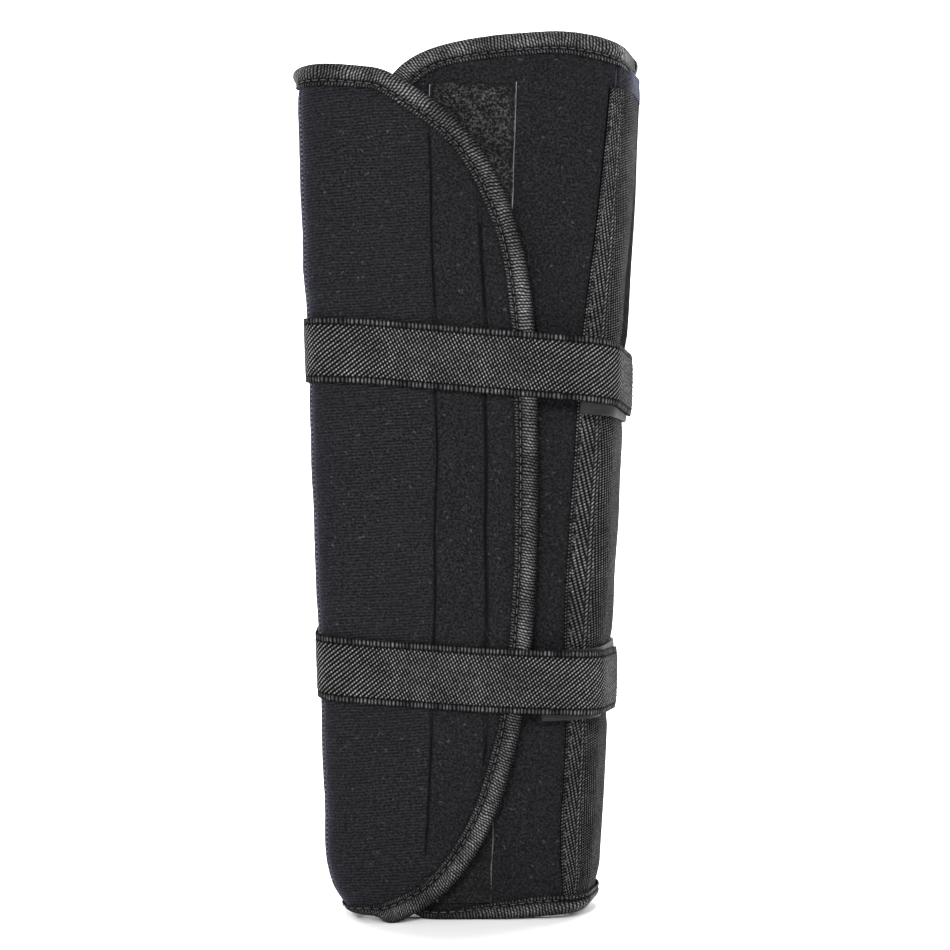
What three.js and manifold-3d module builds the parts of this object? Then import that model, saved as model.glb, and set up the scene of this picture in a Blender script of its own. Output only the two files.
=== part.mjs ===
// A padded forearm guard: a tapered wrap of cover, foam and lining that rolls round the arm.
// The wrap runs as a spiral in plan. It starts at the under panel's free edge, crosses the front to
// the right, goes round the right side, the back and the left side, and ends in the front flap,
// which lies over the under panel. Two straps hold it shut and three stays stiffen it.
// Millimetres, +Z up along the forearm, front towards -Y, origin at the middle of the base.

import * as THREE from "three";
import { mergeVertices } from "three/addons/utils/BufferGeometryUtils.js";
import Module from "manifold-3d";

const wasm = await Module();
wasm.setup();

// ---------------------------------------------------------------- driving dimensions

const HEIGHT_RIGHT = 354; // top edge over most of the under panel
const HEIGHT_SIDE = 349.5; // top edge on the right side
const HEIGHT_LEFT = 345; // top edge at the left fold, where the flap begins
const WIDTH_MIDDLE = 126.4; // across the guard at half height
const HALF_HEIGHT = 175;
const TAPER = 0.093; // growth of the width for each millimetre of height
const APEX = { x: -13.5, y: 0 }; // the place in the plan below that the growth spreads out from
const MIDDLE = { x: 0.084, y: 1.81 }; // centre of the finished guard in the plan below

const GAP = 0.3; // between pieces that are sewn or pressed together
const COVER = 0.8; // layer thicknesses, from the outside in
const FOAM = 2.4;
const LINING = 0.7;
const TAPE = 0.6; // binding tape, and hook and loop tape
const BINDING_WIDTH = 9.2; // of each leg of the folded tape
const EDGE_INSET = 1.3; // from the binding's outside to the edge of the layers in it

const WEBBING = { floor: 0.4, lip: 1.4, bump: 3.7, ramp: 3, side: 1 }; // over the cover
const POCKET = { width: 16, low: 0.8, high: 3.0, floor: 17 }; // the room for a stay
const STAY = { width: 14, thickness: 0.8, length: 298 };
const TIP = { width: 15, thickness: 1.8, length: 9, slack: 0.15, over: 1.2 };

const STRAP = { width: 25.4, thickness: 1.2 };
const BASE_STRAP = { width: 28, thickness: 0.8 };

// Corners of the wall's outside in plan at half height, each with the radius it is rounded to
const UNDER_EDGE = { x: -36, y: -27 };
const RIGHT_FRONT = { x: 51.5, y: -26.6, r: 14 };
const RIGHT_SIDE = { x: 59.7, y: 4, r: 26 };
const RIGHT_BACK = { x: 53, y: 33.5, r: 20 };
const BACK = { x: 3, y: 36, r: 500 };
const LEFT_BACK = { x: -40, y: 34.5, r: 16 };
const LEFT_SIDE = { x: -62.8, y: 10, r: 16 };
const LEFT_FRONT = { x: -62.2, y: -33.8, r: 12 };
const FLAP_CROWN = { x: -10, y: -35.2, r: 400 };
const FLAP_END = { x: 40, y: -34.3 };

const FLAP_HINGE = { x: -62.7, y: 2.2 };
const UNDER_HINGE = { x: 27, y: -26.9 };
const HINGE_LIFT = 1; // hinge lines lie this far outside the cover, clear of the bindings
const STRAP_FOLD_Y = -9.5; // on the left side, where a strap is free of its anchor

// More corners in plan: the strap over the flap's binding and off the right front corner, and the
// same for the base strap inside it
const STRAP_OVER_BINDING = { x: 30, y: -36.1, r: 150 };
const STRAP_CORNER = { x: 56.2, y: -33.4, r: 15 };
const BASE_START = { x: 24, y: -34.2 };
const BASE_CORNER = { x: 54.7, y: -31.4, r: 13 };

// ---------------------------------------------------------------- plan curves

const vec2 = (p) => new THREE.Vector2(p.x, p.y);

function addFillet(path, before, corner, after) {
  const back = vec2(before).sub(vec2(corner)).normalize();
  const on = vec2(after).sub(vec2(corner)).normalize();
  const half = Math.acos(back.dot(on)) / 2;
  const middle = back.clone().add(on).normalize();
  const centre = vec2(corner).addScaledVector(middle, corner.r / Math.sin(half));
  const start = vec2(corner).addScaledVector(back, corner.r / Math.tan(half));
  const end = vec2(corner).addScaledVector(on, corner.r / Math.tan(half));
  path.lineTo(start.x, start.y);
  const from = start.sub(centre).angle();
  const to = end.sub(centre).angle();
  path.absarc(centre.x, centre.y, corner.r, from, to, false);
}

// A run of straight stretches and arcs, followed anticlockwise and measured along its length
class PlanCurve {
  constructor(corners) {
    this.path = new THREE.Path();
    this.path.moveTo(corners[0].x, corners[0].y);
    for (let i = 1; i < corners.length - 1; i += 1) {
      addFillet(this.path, corners[i - 1], corners[i], corners[i + 1]);
    }
    this.path.lineTo(corners.at(-1).x, corners.at(-1).y);
    this.length = this.path.getLength();
  }

  point(u) {
    return this.path.getPoint(THREE.MathUtils.clamp(u / this.length, 0, 1));
  }

  tangent(u) {
    const step = 0.2;
    const low = Math.max(u - step, 0);
    const high = Math.min(u + step, this.length);
    return this.point(high).sub(this.point(low)).normalize();
  }

  outward(u) {
    const t = this.tangent(u);
    return new THREE.Vector2(t.y, -t.x);
  }

  // Distance along the curve of the point nearest to a place in plan
  nearest(place) {
    const target = vec2(place);
    const distance = (u) => this.point(u).distanceTo(target);
    let best = 0;
    for (let u = 0; u <= this.length; u += 1) {
      if (distance(u) < distance(best)) best = u;
    }
    for (let step = 0.5; step > 0.001; step /= 2) {
      if (distance(best + step) < distance(best)) best += step;
      else if (distance(best - step) < distance(best)) best -= step;
    }
    return best;
  }

  // Places to put columns: the curve turns little, and runs only so far, between two of them
  stations(from, to, furthest = 16) {
    const mostTurn = THREE.MathUtils.degToRad(10);
    const kept = [from];
    for (let u = from + 0.5; u < to - 0.5; u += 0.5) {
      const turned = this.tangent(u).angleTo(this.tangent(kept.at(-1)));
      if (turned > mostTurn || u - kept.at(-1) > furthest) kept.push(u);
    }
    kept.push(to);
    return kept;
  }
}

const scaleAt = (z) => 1 + (TAPER * (z - HALF_HEIGHT)) / WIDTH_MIDDLE;

// A point of the tapered wall: u along the curve, z up, n out from it
function place(curve, u, z, n) {
  const at = curve.point(u).sub(APEX).multiplyScalar(scaleAt(z)).add(APEX);
  at.addScaledVector(curve.outward(u), n).sub(MIDDLE);
  return new THREE.Vector3(at.x, at.y, z);
}

// ---------------------------------------------------------------- closed bodies

function geometryOf(points, faces) {
  const geometry = new THREE.BufferGeometry().setFromPoints(points);
  let volume = 0;
  for (const [a, b, c] of faces) {
    volume += points[a].dot(new THREE.Vector3().crossVectors(points[b], points[c]));
  }
  const outward = volume > 0 ? faces : faces.map(([a, b, c]) => [a, c, b]);
  geometry.setIndex(outward.flat());
  return geometry;
}

const quad = (a, b, c, d) => [[a, b, c], [a, c, d]];

// A sheet of even thickness on the wall. rows run upwards, and each lists its {u, z} to the right
function slab(curve, rows, inner, outer) {
  const up = rows.length;
  const across = rows[0].length;
  const points = [outer, inner].flatMap((n) => rows.flat().map(({ u, z }) => place(curve, u, z, n)));
  const id = (layer, i, j) => (layer * up + i) * across + j;
  const faces = [];
  for (let i = 0; i < up - 1; i += 1) {
    for (let j = 0; j < across - 1; j += 1) {
      faces.push(...quad(id(0, i, j), id(0, i, j + 1), id(0, i + 1, j + 1), id(0, i + 1, j)));
      faces.push(...quad(id(1, i, j), id(1, i + 1, j), id(1, i + 1, j + 1), id(1, i, j + 1)));
    }
    const last = across - 1;
    faces.push(...quad(id(0, i, 0), id(0, i + 1, 0), id(1, i + 1, 0), id(1, i, 0)));
    faces.push(...quad(id(0, i, last), id(1, i, last), id(1, i + 1, last), id(0, i + 1, last)));
  }
  for (let j = 0; j < across - 1; j += 1) {
    const top = up - 1;
    faces.push(...quad(id(0, 0, j), id(1, 0, j), id(1, 0, j + 1), id(0, 0, j + 1)));
    faces.push(...quad(id(0, top, j), id(0, top, j + 1), id(1, top, j + 1), id(1, top, j)));
  }
  return geometryOf(points, faces);
}

// A section carried along a line: section is its outline in two dimensions, anticlockwise, and
// loops holds the same outline's points in space at each station
function loft(section, loops) {
  const count = section.length;
  const caps = THREE.ShapeUtils.triangulateShape(section, []).map((face) => {
    const [a, b, c] = face.map((i) => section[i]);
    const area = (b.x - a.x) * (c.y - a.y) - (b.y - a.y) * (c.x - a.x);
    return area > 0 ? face : [face[0], face[2], face[1]];
  });
  const faces = caps.map(([a, b, c]) => [a, c, b]);
  const last = (loops.length - 1) * count;
  faces.push(...caps.map((face) => face.map((i) => i + last)));
  for (let i = 0; i < loops.length - 1; i += 1) {
    for (let j = 0; j < count; j += 1) {
      const next = (j + 1) % count;
      const low = i * count;
      const high = low + count;
      faces.push(...quad(low + j, low + next, high + next, high + j));
    }
  }
  return geometryOf(loops.flat(), faces);
}

function toSolid(geometry) {
  const bare = geometry.clone();
  bare.deleteAttribute("normal");
  bare.deleteAttribute("uv");
  const merged = mergeVertices(bare, 1e-4);
  const vertProperties = new Float32Array(merged.attributes.position.array);
  const triVerts = new Uint32Array(merged.index.array);
  return new wasm.Manifold(new wasm.Mesh({ numProp: 3, vertProperties, triVerts }));
}

function cut(geometry, tool) {
  const mesh = toSolid(geometry).subtract(toSolid(tool)).getMesh();
  const result = new THREE.BufferGeometry();
  result.setAttribute("position", new THREE.BufferAttribute(mesh.vertProperties, mesh.numProp));
  result.setIndex([...mesh.triVerts]);
  return result;
}

// ---------------------------------------------------------------- the wall and what lies on it

const wall = new PlanCurve([
  UNDER_EDGE, RIGHT_FRONT, RIGHT_SIDE, RIGHT_BACK, BACK,
  LEFT_BACK, LEFT_SIDE, LEFT_FRONT, FLAP_CROWN, FLAP_END,
]);
const halfway = (a, b) => ({ x: (a.x + b.x) / 2, y: (a.y + b.y) / 2 });
const AT = {
  underHinge: wall.nearest(UNDER_HINGE),
  rightFront: wall.nearest(RIGHT_FRONT),
  rightStay: wall.nearest(halfway(RIGHT_FRONT, RIGHT_SIDE)),
  backStay: wall.nearest(BACK),
  leftStay: wall.nearest(halfway(LEFT_BACK, LEFT_SIDE)),
  flapHinge: wall.nearest(FLAP_HINGE),
  pastFold: wall.nearest({ x: -48, y: LEFT_FRONT.y }),
};

const LAYERS = {
  cover: { inner: -COVER, outer: 0 },
  foam: { inner: -COVER - GAP - FOAM, outer: -COVER - GAP },
};
LAYERS.lining = { inner: LAYERS.foam.inner - GAP - LINING, outer: LAYERS.foam.inner - GAP };
const WALL_INSIDE = LAYERS.lining.inner;

// Height of the top edge: it dips at the right front corner, then falls slowly to the left fold
const DIP = { before: 20, after: 10 }; // the stretch of the dip, about the corner
function topEdge(u) {
  const dip = THREE.MathUtils.smoothstep(u, AT.rightFront - DIP.before, AT.rightFront + DIP.after);
  const along = THREE.MathUtils.clamp((u - AT.rightStay) / (AT.flapHinge - AT.rightStay), 0, 1);
  const side = THREE.MathUtils.lerp(HEIGHT_SIDE, HEIGHT_LEFT, along);
  return THREE.MathUtils.lerp(HEIGHT_RIGHT, side, dip);
}

function rootLayer(from, to, { inner, outer }) {
  const columns = wall.stations(from + GAP / 2, to - GAP / 2);
  const bottom = columns.map((u) => ({ u, z: EDGE_INSET }));
  const top = columns.map((u) => ({ u, z: topEdge(u) - EDGE_INSET }));
  return slab(wall, [bottom, top], inner, outer);
}

// ---------------------------------------------------------------- the two free panels

// The free edge of a panel seen from the front, in true millimetres from the bottom edge upwards
function freeEdge(start, curves, steps) {
  const path = new THREE.Path();
  path.moveTo(...start);
  for (const curve of curves) {
    if (curve.length === 1) path.lineTo(...curve[0]);
    else path.bezierCurveTo(...curve.flat());
  }
  return path.curves.flatMap((curve, i) => {
    const count = curve.isLineCurve ? 1 : steps;
    const points = curve.getSpacedPoints(count);
    return i === 0 ? points : points.slice(1);
  });
}

const flapEdge = freeEdge(
  [-31, 0],
  [[[27, 16], [29, 120], [27, 215]], [[26, 308], [-7, 324], [-32, 339]]],
  9,
);
const underEdge = freeEdge(
  [-13, 0],
  [[[-27, 0], [-34, 10], [-34.5, 40]], [[-40.8, 300]], [[-39, 347], [-18, 352], [9, 353.6]]],
  6,
);

// The edge moved towards the panel's hinge side by an inset. hand is +1 where that is to the left
function insetEdge(edge, inset, hand) {
  return edge.map((point, i) => {
    const before = edge[Math.max(i - 1, 0)];
    const after = edge[Math.min(i + 1, edge.length - 1)];
    const along = after.clone().sub(before).normalize();
    const first = i === 0;
    const inward = first ? new THREE.Vector2(0, 1) : new THREE.Vector2(-along.y, along.x);
    return point.clone().addScaledVector(inward, first ? inset : inset * hand);
  });
}

const planX = (x, z) => (x + MIDDLE.x - APEX.x) / scaleAt(z) + APEX.x;
const flapU = (x, z) => wall.nearest({ x: planX(x, z), y: FLAP_CROWN.y });
const underU = (x, z) => wall.nearest({ x: planX(x, z), y: UNDER_EDGE.y });

const PANELS = {
  flap: {
    edge: flapEdge,
    hand: 1,
    toU: flapU,
    hinge: AT.flapHinge + GAP / 2,
    top: HEIGHT_LEFT,
    fixed: wall.stations(AT.flapHinge + GAP / 2, AT.pastFold),
    free: 5,
  },
  under: {
    edge: underEdge,
    hand: -1,
    toU: underU,
    hinge: AT.underHinge - GAP / 2,
    top: HEIGHT_RIGHT,
    fixed: [AT.underHinge - GAP / 2],
    free: 6,
  },
};

function panelLayer(panel, { inner, outer }) {
  const edge = insetEdge(panel.edge, EDGE_INSET, panel.hand);
  const { y: low } = edge[0];
  const { y: high } = edge.at(-1);
  const start = panel.fixed.at(-1);
  const rows = edge.map(({ x, y: z }) => {
    const up = (z - low) / (high - low);
    const hingeZ = THREE.MathUtils.lerp(EDGE_INSET, panel.top - EDGE_INSET, up);
    const end = panel.toU(x, z);
    const free = Array.from({ length: panel.free }, (_, i) => {
      return THREE.MathUtils.lerp(start, end, (i + 1) / panel.free);
    });
    const row = [...panel.fixed, ...free].map((u) => {
      const across = (u - panel.hinge) / (end - panel.hinge);
      return { u, z: THREE.MathUtils.lerp(hingeZ, z, across) };
    });
    return panel.hand > 0 ? row : row.reverse();
  });
  return slab(wall, rows, inner, outer);
}

// ---------------------------------------------------------------- bindings

// A tape folded over an edge: depth in from the edge, and height out from the cover
const bindingSection = (() => {
  const outside = GAP + TAPE;
  const inside = WALL_INSIDE - GAP - TAPE;
  const web = EDGE_INSET - GAP;
  return [
    [0, inside], [BINDING_WIDTH, inside], [BINDING_WIDTH, inside + TAPE], [web, inside + TAPE],
    [web, outside - TAPE], [BINDING_WIDTH, outside - TAPE], [BINDING_WIDTH, outside], [0, outside],
  ].map(([depth, height]) => new THREE.Vector2(depth, height));
})();

function rootBinding(from, to, atTop) {
  const loops = wall.stations(from + GAP / 2, to - GAP / 2).map((u) => {
    return bindingSection.map(({ x: depth, y: n }) => {
      return place(wall, u, atTop ? topEdge(u) - depth : depth, n);
    });
  });
  return loft(bindingSection, loops);
}

function panelBinding(panel) {
  const alongEdge = (z) => panel.fixed.map((u) => ({ u, z: z(u) }));
  const rings = bindingSection.map(({ x: depth, y: n }) => {
    const edge = insetEdge(panel.edge, depth, panel.hand);
    const end = panel.toU(edge.at(-1).x, edge.at(-1).y);
    const rise = (u) => {
      const across = (u - panel.hinge) / (end - panel.hinge);
      return THREE.MathUtils.lerp(panel.top - depth, edge.at(-1).y, across);
    };
    const track = [
      ...alongEdge(() => depth),
      ...edge.map(({ x, y: z }) => ({ u: panel.toU(x, z), z })),
      ...alongEdge(rise).reverse(),
    ];
    return track.map(({ u, z }) => place(wall, u, z, n));
  });
  const loops = rings[0].map((_, i) => rings.map((ring) => ring[i]));
  return loft(bindingSection, loops);
}

// ---------------------------------------------------------------- side webbings and stays

// Axes of a flat bar on the wall: x across it, y out from the wall, z up along the wall
function barFrame(u, z, n) {
  const low = place(wall, u, z, n);
  const along = place(wall, u, z + 1, n).sub(low).normalize();
  const t = wall.tangent(u);
  const out = new THREE.Vector3(t.x, t.y, 0).cross(along).normalize();
  const across = new THREE.Vector3().crossVectors(out, along);
  return new THREE.Matrix4().makeBasis(across, out, along).setPosition(low);
}

const POCKET_MIDDLE = (POCKET.low + POCKET.high) / 2;
const LIP_STEP = 2.5; // between columns across a side webbing, which bends round the wall's corners

function pocketTool(u, fromZ, toZ) {
  const box = new THREE.BoxGeometry(POCKET.width, POCKET.high - POCKET.low, toZ - fromZ);
  box.translate(0, 0, (toZ - fromZ) / 2);
  return box.applyMatrix4(barFrame(u, fromZ, POCKET_MIDDLE));
}

// Tubular webbing sewn down along both edges, raised in the middle over the pocket for a stay.
// left and right are its edges, across from the stay's line, and veer moves them with height
function webbingChannel({ u, left, right, bottom, top, levels, veer = () => 0, floor }) {
  const half = POCKET.width / 2 + WEBBING.side;
  const foot = half + WEBBING.ramp;
  const spread = (from, to) => {
    const count = Math.ceil(Math.abs(to - from) / LIP_STEP);
    return Array.from({ length: count }, (_, i) => THREE.MathUtils.lerp(from, to, i / count));
  };
  const across = [
    ...spread(left, -foot), -foot, ...spread(-half, half), half, ...spread(foot, right), right,
  ];
  const heights = across.map((v) => (Math.abs(v) <= half ? WEBBING.bump : WEBBING.lip));
  const under = [...across].reverse();
  const section = [
    ...under.map((v) => new THREE.Vector2(v, -WEBBING.floor)),
    ...across.map((v, i) => new THREE.Vector2(v, -heights[i])),
  ];
  const loops = Array.from({ length: levels + 1 }, (_, level) => {
    return section.map(({ x: v, y }) => {
      const z = THREE.MathUtils.lerp(bottom(v), top(v), level / levels);
      const share = THREE.MathUtils.clamp((Math.abs(v) - half) / (right - half), 0, 1);
      return place(wall, u + (v + veer(z) * share) / scaleAt(z), z, -y);
    });
  });
  return cut(loft(section, loops), pocketTool(u, floor, HEIGHT_RIGHT));
}

function flatBar(width, length, thickness) {
  const outline = new THREE.Shape();
  const radius = width / 2;
  outline.absarc(0, radius, radius, Math.PI, 2 * Math.PI, false);
  outline.absarc(0, length - radius, radius, 0, Math.PI, false);
  outline.closePath();
  const bar = new THREE.ExtrudeGeometry(outline, {
    depth: thickness,
    bevelEnabled: false,
    curveSegments: 8,
  });
  return bar.translate(0, 0, -thickness / 2).rotateX(Math.PI / 2);
}

// A stay stands in its pocket with a dipped cap on each end. Built upright at its own origin
function stayPieces() {
  const bar = flatBar(STAY.width, STAY.length, STAY.thickness).translate(0, 0, TIP.over);
  const whole = STAY.length + 2 * TIP.over;
  const cavity = flatBar(
    STAY.width + 2 * TIP.slack,
    STAY.length + 2 * TIP.slack,
    STAY.thickness + 2 * TIP.slack,
  ).translate(0, 0, TIP.over - TIP.slack);
  const blank = flatBar(TIP.width, whole, TIP.thickness);
  const keepLow = new THREE.BoxGeometry(3 * TIP.width, 3 * TIP.width, whole);
  keepLow.translate(0, 0, TIP.length + whole / 2);
  const lowTip = cut(cut(blank, keepLow), cavity);
  const highTip = lowTip.clone().rotateY(Math.PI).translate(0, 0, whole);
  return { bar, lowTip, highTip };
}

// ---------------------------------------------------------------- straps

// The direction out from the straight stretch between two corners
function outwardOf(from, to) {
  return new THREE.Vector2(to.y - from.y, from.x - to.x).normalize();
}

// A corner of a line that runs outside the wall by a lift
function pushedOut(before, corner, after, lift) {
  const first = outwardOf(before, corner);
  const second = outwardOf(corner, after);
  const mitre = first.clone().add(second).multiplyScalar(lift / (1 + first.dot(second)));
  return { x: corner.x + mitre.x, y: corner.y + mitre.y, r: corner.r + lift };
}

// The curves below are drawn at half height, so a lift over the cover is divided by the scale of
// the lowest place that it has to hold at
const LOWEST_SCALE = scaleAt(75);
const BASE_LIFT = (WEBBING.bump + GAP) / LOWEST_SCALE;
const STRAP_LIFT = BASE_LIFT + (BASE_STRAP.thickness + 2 * GAP + TAPE + 0.05) / LOWEST_SCALE;

// The inside of a strap: close on the flap, over its binding, then straight to the right side
const RISE = { front: 0.6, crown: 0.8 }; // off the flap, at the left fold and at its crown
const onRightSide = vec2(RIGHT_SIDE).addScaledVector(outwardOf(RIGHT_FRONT, RIGHT_SIDE), STRAP_LIFT);
const strapCurve = new PlanCurve([
  { x: LEFT_SIDE.x - GAP, y: LEFT_SIDE.y },
  { x: LEFT_FRONT.x - GAP, y: LEFT_FRONT.y - RISE.front, r: LEFT_FRONT.r + GAP },
  { x: FLAP_CROWN.x, y: FLAP_CROWN.y - RISE.crown, r: FLAP_CROWN.r },
  STRAP_OVER_BINDING,
  STRAP_CORNER,
  onRightSide,
]);

// The inside of a base strap: under the strap's hook tape, then round the back over the webbings
const baseCurve = new PlanCurve([
  BASE_START,
  BASE_CORNER,
  pushedOut(RIGHT_FRONT, RIGHT_SIDE, RIGHT_BACK, BASE_LIFT),
  pushedOut(RIGHT_SIDE, RIGHT_BACK, BACK, BASE_LIFT),
  pushedOut(RIGHT_BACK, BACK, LEFT_BACK, BASE_LIFT),
  { x: LEFT_BACK.x, y: LEFT_BACK.y + BASE_LIFT },
]);

const STRAP_FROM = strapCurve.nearest({ x: LEFT_FRONT.x, y: STRAP_FOLD_Y });
const STRAP_TO = strapCurve.length - 2;
const HOOK_TAB = { length: 42, inset: 1 };

// Heights of each strap's middle at even steps from the left fold to its right end, and of its base
// strap's at its start, on the right side and at its end. baseStart is where the base strap
// starts, across the front
const STRAPS = {
  upper: { line: [227.8, 226.3, 222.6, 219.3, 214.5], base: [215.8, 213.5, 213], baseStart: 43 },
  lower: { line: [103.2, 99.9, 97.1, 95.4, 94.6], base: [94.2, 96.2, 97], baseStart: 32 },
};
const BASE_END_X = -38;

// A band of even width along a curve; centre gives the height of its middle at each u
function band(curve, from, to, centre, width, inner, outer) {
  const columns = curve.stations(from, to);
  const row = (side) => columns.map((u) => ({ u, z: centre(u) + (side * width) / 2 }));
  return slab(curve, [row(-1), row(1)], inner, outer);
}

function strapHeight({ line }) {
  const steps = line.length - 1;
  return (u) => {
    const along = THREE.MathUtils.clamp((u - STRAP_FROM) / (STRAP_TO - STRAP_FROM), 0, 1) * steps;
    const step = Math.min(Math.floor(along), steps - 1);
    return THREE.MathUtils.lerp(line[step], line[step + 1], along - step);
  };
}

function baseStrap({ base, baseStart }) {
  const from = baseCurve.nearest({ x: baseStart, y: BASE_START.y });
  const side = baseCurve.nearest(RIGHT_SIDE);
  const to = baseCurve.nearest({ x: BASE_END_X, y: BACK.y + BASE_LIFT });
  const centre = (u) => {
    if (u < side) return THREE.MathUtils.mapLinear(u, from, side, base[0], base[1]);
    return THREE.MathUtils.mapLinear(u, side, to, base[1], base[2]);
  };
  return band(baseCurve, from, to, centre, BASE_STRAP.width, 0, BASE_STRAP.thickness);
}

// ---------------------------------------------------------------- hook and loop tape

// A strip on a free panel. sides gives its left and right, in true distances, at each height
function strip(toU, bottom, top, sides, height, columns = 3, rows = 12) {
  const grid = Array.from({ length: rows + 1 }, (_, i) => {
    const z = THREE.MathUtils.lerp(bottom, top, i / rows);
    const [left, right] = sides(z);
    return Array.from({ length: columns + 1 }, (__, j) => {
      return { u: toU(THREE.MathUtils.lerp(left, right, j / columns), z), z };
    });
  });
  return slab(wall, grid, height, height + TAPE);
}

// Where a panel's binding begins at a height, in from the free edge
function bareEdge(panel, z) {
  const edge = insetEdge(panel.edge, BINDING_WIDTH + 2 * GAP, panel.hand);
  const above = Math.max(edge.findIndex((point) => point.y >= z), 1);
  const [low, high] = [edge[above - 1], edge[above]];
  return THREE.MathUtils.mapLinear(z, low.y, high.y, low.x, high.x);
}

const HOOK_STRIP = { left: -15, right: 5, bottom: 30, top: 300 };
const LOOP_PATCH = { width: 34.5, leftLow: -26, lean: 11, bottom: 12, top: 333 };

const hookStrip = strip(
  flapU,
  HOOK_STRIP.bottom,
  HOOK_STRIP.top,
  (z) => [HOOK_STRIP.left, Math.min(HOOK_STRIP.right, bareEdge(PANELS.flap, z))],
  WALL_INSIDE - GAP - TAPE,
);
const loopPatch = strip(
  underU,
  LOOP_PATCH.bottom,
  LOOP_PATCH.top,
  (z) => {
    const left = LOOP_PATCH.leftLow + (LOOP_PATCH.lean * z) / HEIGHT_RIGHT;
    return [Math.max(left, bareEdge(PANELS.under, z)), left + LOOP_PATCH.width];
  },
  GAP,
);

// ---------------------------------------------------------------- materials

const materialOf = (color, roughness, metalness = 0) => {
  return new THREE.MeshStandardMaterial({ color, roughness, metalness });
};
const MATERIALS = {
  cover: materialOf(0x1c1c20, 0.95),
  foam: materialOf(0x2b2b2e, 1),
  lining: materialOf(0x222226, 0.95),
  tape: materialOf(0x2a2a2c, 0.7),
  webbing: materialOf(0x2e2e30, 0.65),
  strap: materialOf(0x323234, 0.6),
  smooth: materialOf(0x2c2d30, 0.45),
  hook: materialOf(0x202022, 0.5),
  loop: materialOf(0x262628, 1),
  metal: materialOf(0xb9bcc0, 0.35, 1),
  cap: materialOf(0x1a1a1a, 0.6),
};

// ---------------------------------------------------------------- assembly

const group = new THREE.Group();

function add(name, geometry, material, parent = group) {
  const mesh = new THREE.Mesh(geometry, MATERIALS[material]);
  mesh.name = name;
  parent.add(mesh);
  return mesh;
}

// Back and sides of the wrap, in two halves that meet under the back webbing
const halves = {
  right: [AT.underHinge, AT.backStay],
  left: [AT.backStay, AT.flapHinge],
};
for (const [side, [from, to]] of Object.entries(halves)) {
  add(`outer_cover_${side}`, rootLayer(from, to, LAYERS.cover), "cover");
  add(`foam_core_${side}`, rootLayer(from, to, LAYERS.foam), "foam");
  add(`lining_${side}`, rootLayer(from, to, LAYERS.lining), "lining");
  add(`binding_top_${side}`, rootBinding(from, to, true), "tape");
  add(`binding_bottom_${side}`, rootBinding(from, to, false), "tape");
}

// Flap and under panel
for (const [name, panel] of Object.entries({ flap: PANELS.flap, under_panel: PANELS.under })) {
  add(`${name}_cover`, panelLayer(panel, LAYERS.cover), "cover");
  add(`${name}_foam`, panelLayer(panel, LAYERS.foam), "foam");
  add(`${name}_lining`, panelLayer(panel, LAYERS.lining), "lining");
  add(`${name}_binding`, panelBinding(panel), "tape");
}
add("hook_strip", hookStrip, "hook");
add("loop_patch", loopPatch, "loop");

// Webbings over the three stays. The right one veers back near its slanted top end and its foot
const WEBBING_BOTTOM = BINDING_WIDTH + 0.5;
const mouth = (u) => topEdge(u) - WEBBING_BOTTOM;
const VEER = {
  top: { from: 190, by: 8 },
  low: { from: 60, to: 135, by: 4.6 },
  foot: { to: 45, by: 5 },
};
const veerAt = (z) => {
  const top = THREE.MathUtils.smoothstep(z, VEER.top.from, HEIGHT_RIGHT);
  const low = 1 - THREE.MathUtils.smoothstep(z, VEER.low.from, VEER.low.to);
  const foot = Math.max(1 - z / VEER.foot.to, 0) ** 2;
  return VEER.top.by * top + VEER.low.by * low + VEER.foot.by * foot;
};
const RIGHT_TOP = { z: 330.3, fall: 0.06 };
const rightTop = (v) => RIGHT_TOP.z - RIGHT_TOP.fall * v;

add("webbing_channel_right", webbingChannel({
  u: AT.rightStay,
  left: -23.3,
  right: 26.7,
  bottom: () => WEBBING_BOTTOM,
  top: rightTop,
  levels: 10,
  veer: veerAt,
  floor: POCKET.floor,
}), "webbing");
add("stay_sleeve_end_right", webbingChannel({
  u: AT.rightStay,
  left: -13.5,
  right: 20,
  bottom: (v) => rightTop(v) + 0.5,
  top: (v) => mouth(AT.rightStay + v) - 0.5,
  levels: 1,
  floor: HALF_HEIGHT,
}), "cover");
for (const [side, u, left, right] of [
  ["left", AT.leftStay, -25, 20],
  ["back", AT.backStay, -25, 25],
]) {
  add(`webbing_channel_${side}`, webbingChannel({
    u,
    left,
    right,
    bottom: () => WEBBING_BOTTOM,
    top: (v) => mouth(u + v) - 0.5,
    levels: 4,
    floor: POCKET.floor,
  }), "webbing");
}

// Stays, each in its own turned group so that bar and caps share one frame
const stayLines = {};
for (const side of ["left", "right", "back"]) {
  const holder = new THREE.Group();
  const u = AT[`${side}Stay`];
  holder.applyMatrix4(barFrame(u, POCKET.floor + GAP, POCKET_MIDDLE));
  group.add(holder);
  const { bar, lowTip, highTip } = stayPieces();
  add(`stay_${side}`, bar, "metal", holder);
  add(`stay_${side}_tip_bottom`, lowTip, "cap", holder);
  add(`stay_${side}_tip_top`, highTip, "cap", holder);
  stayLines[`stay_${side}`] = { axis: new THREE.Vector3().setFromMatrixColumn(holder.matrix, 2) };
}

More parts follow.
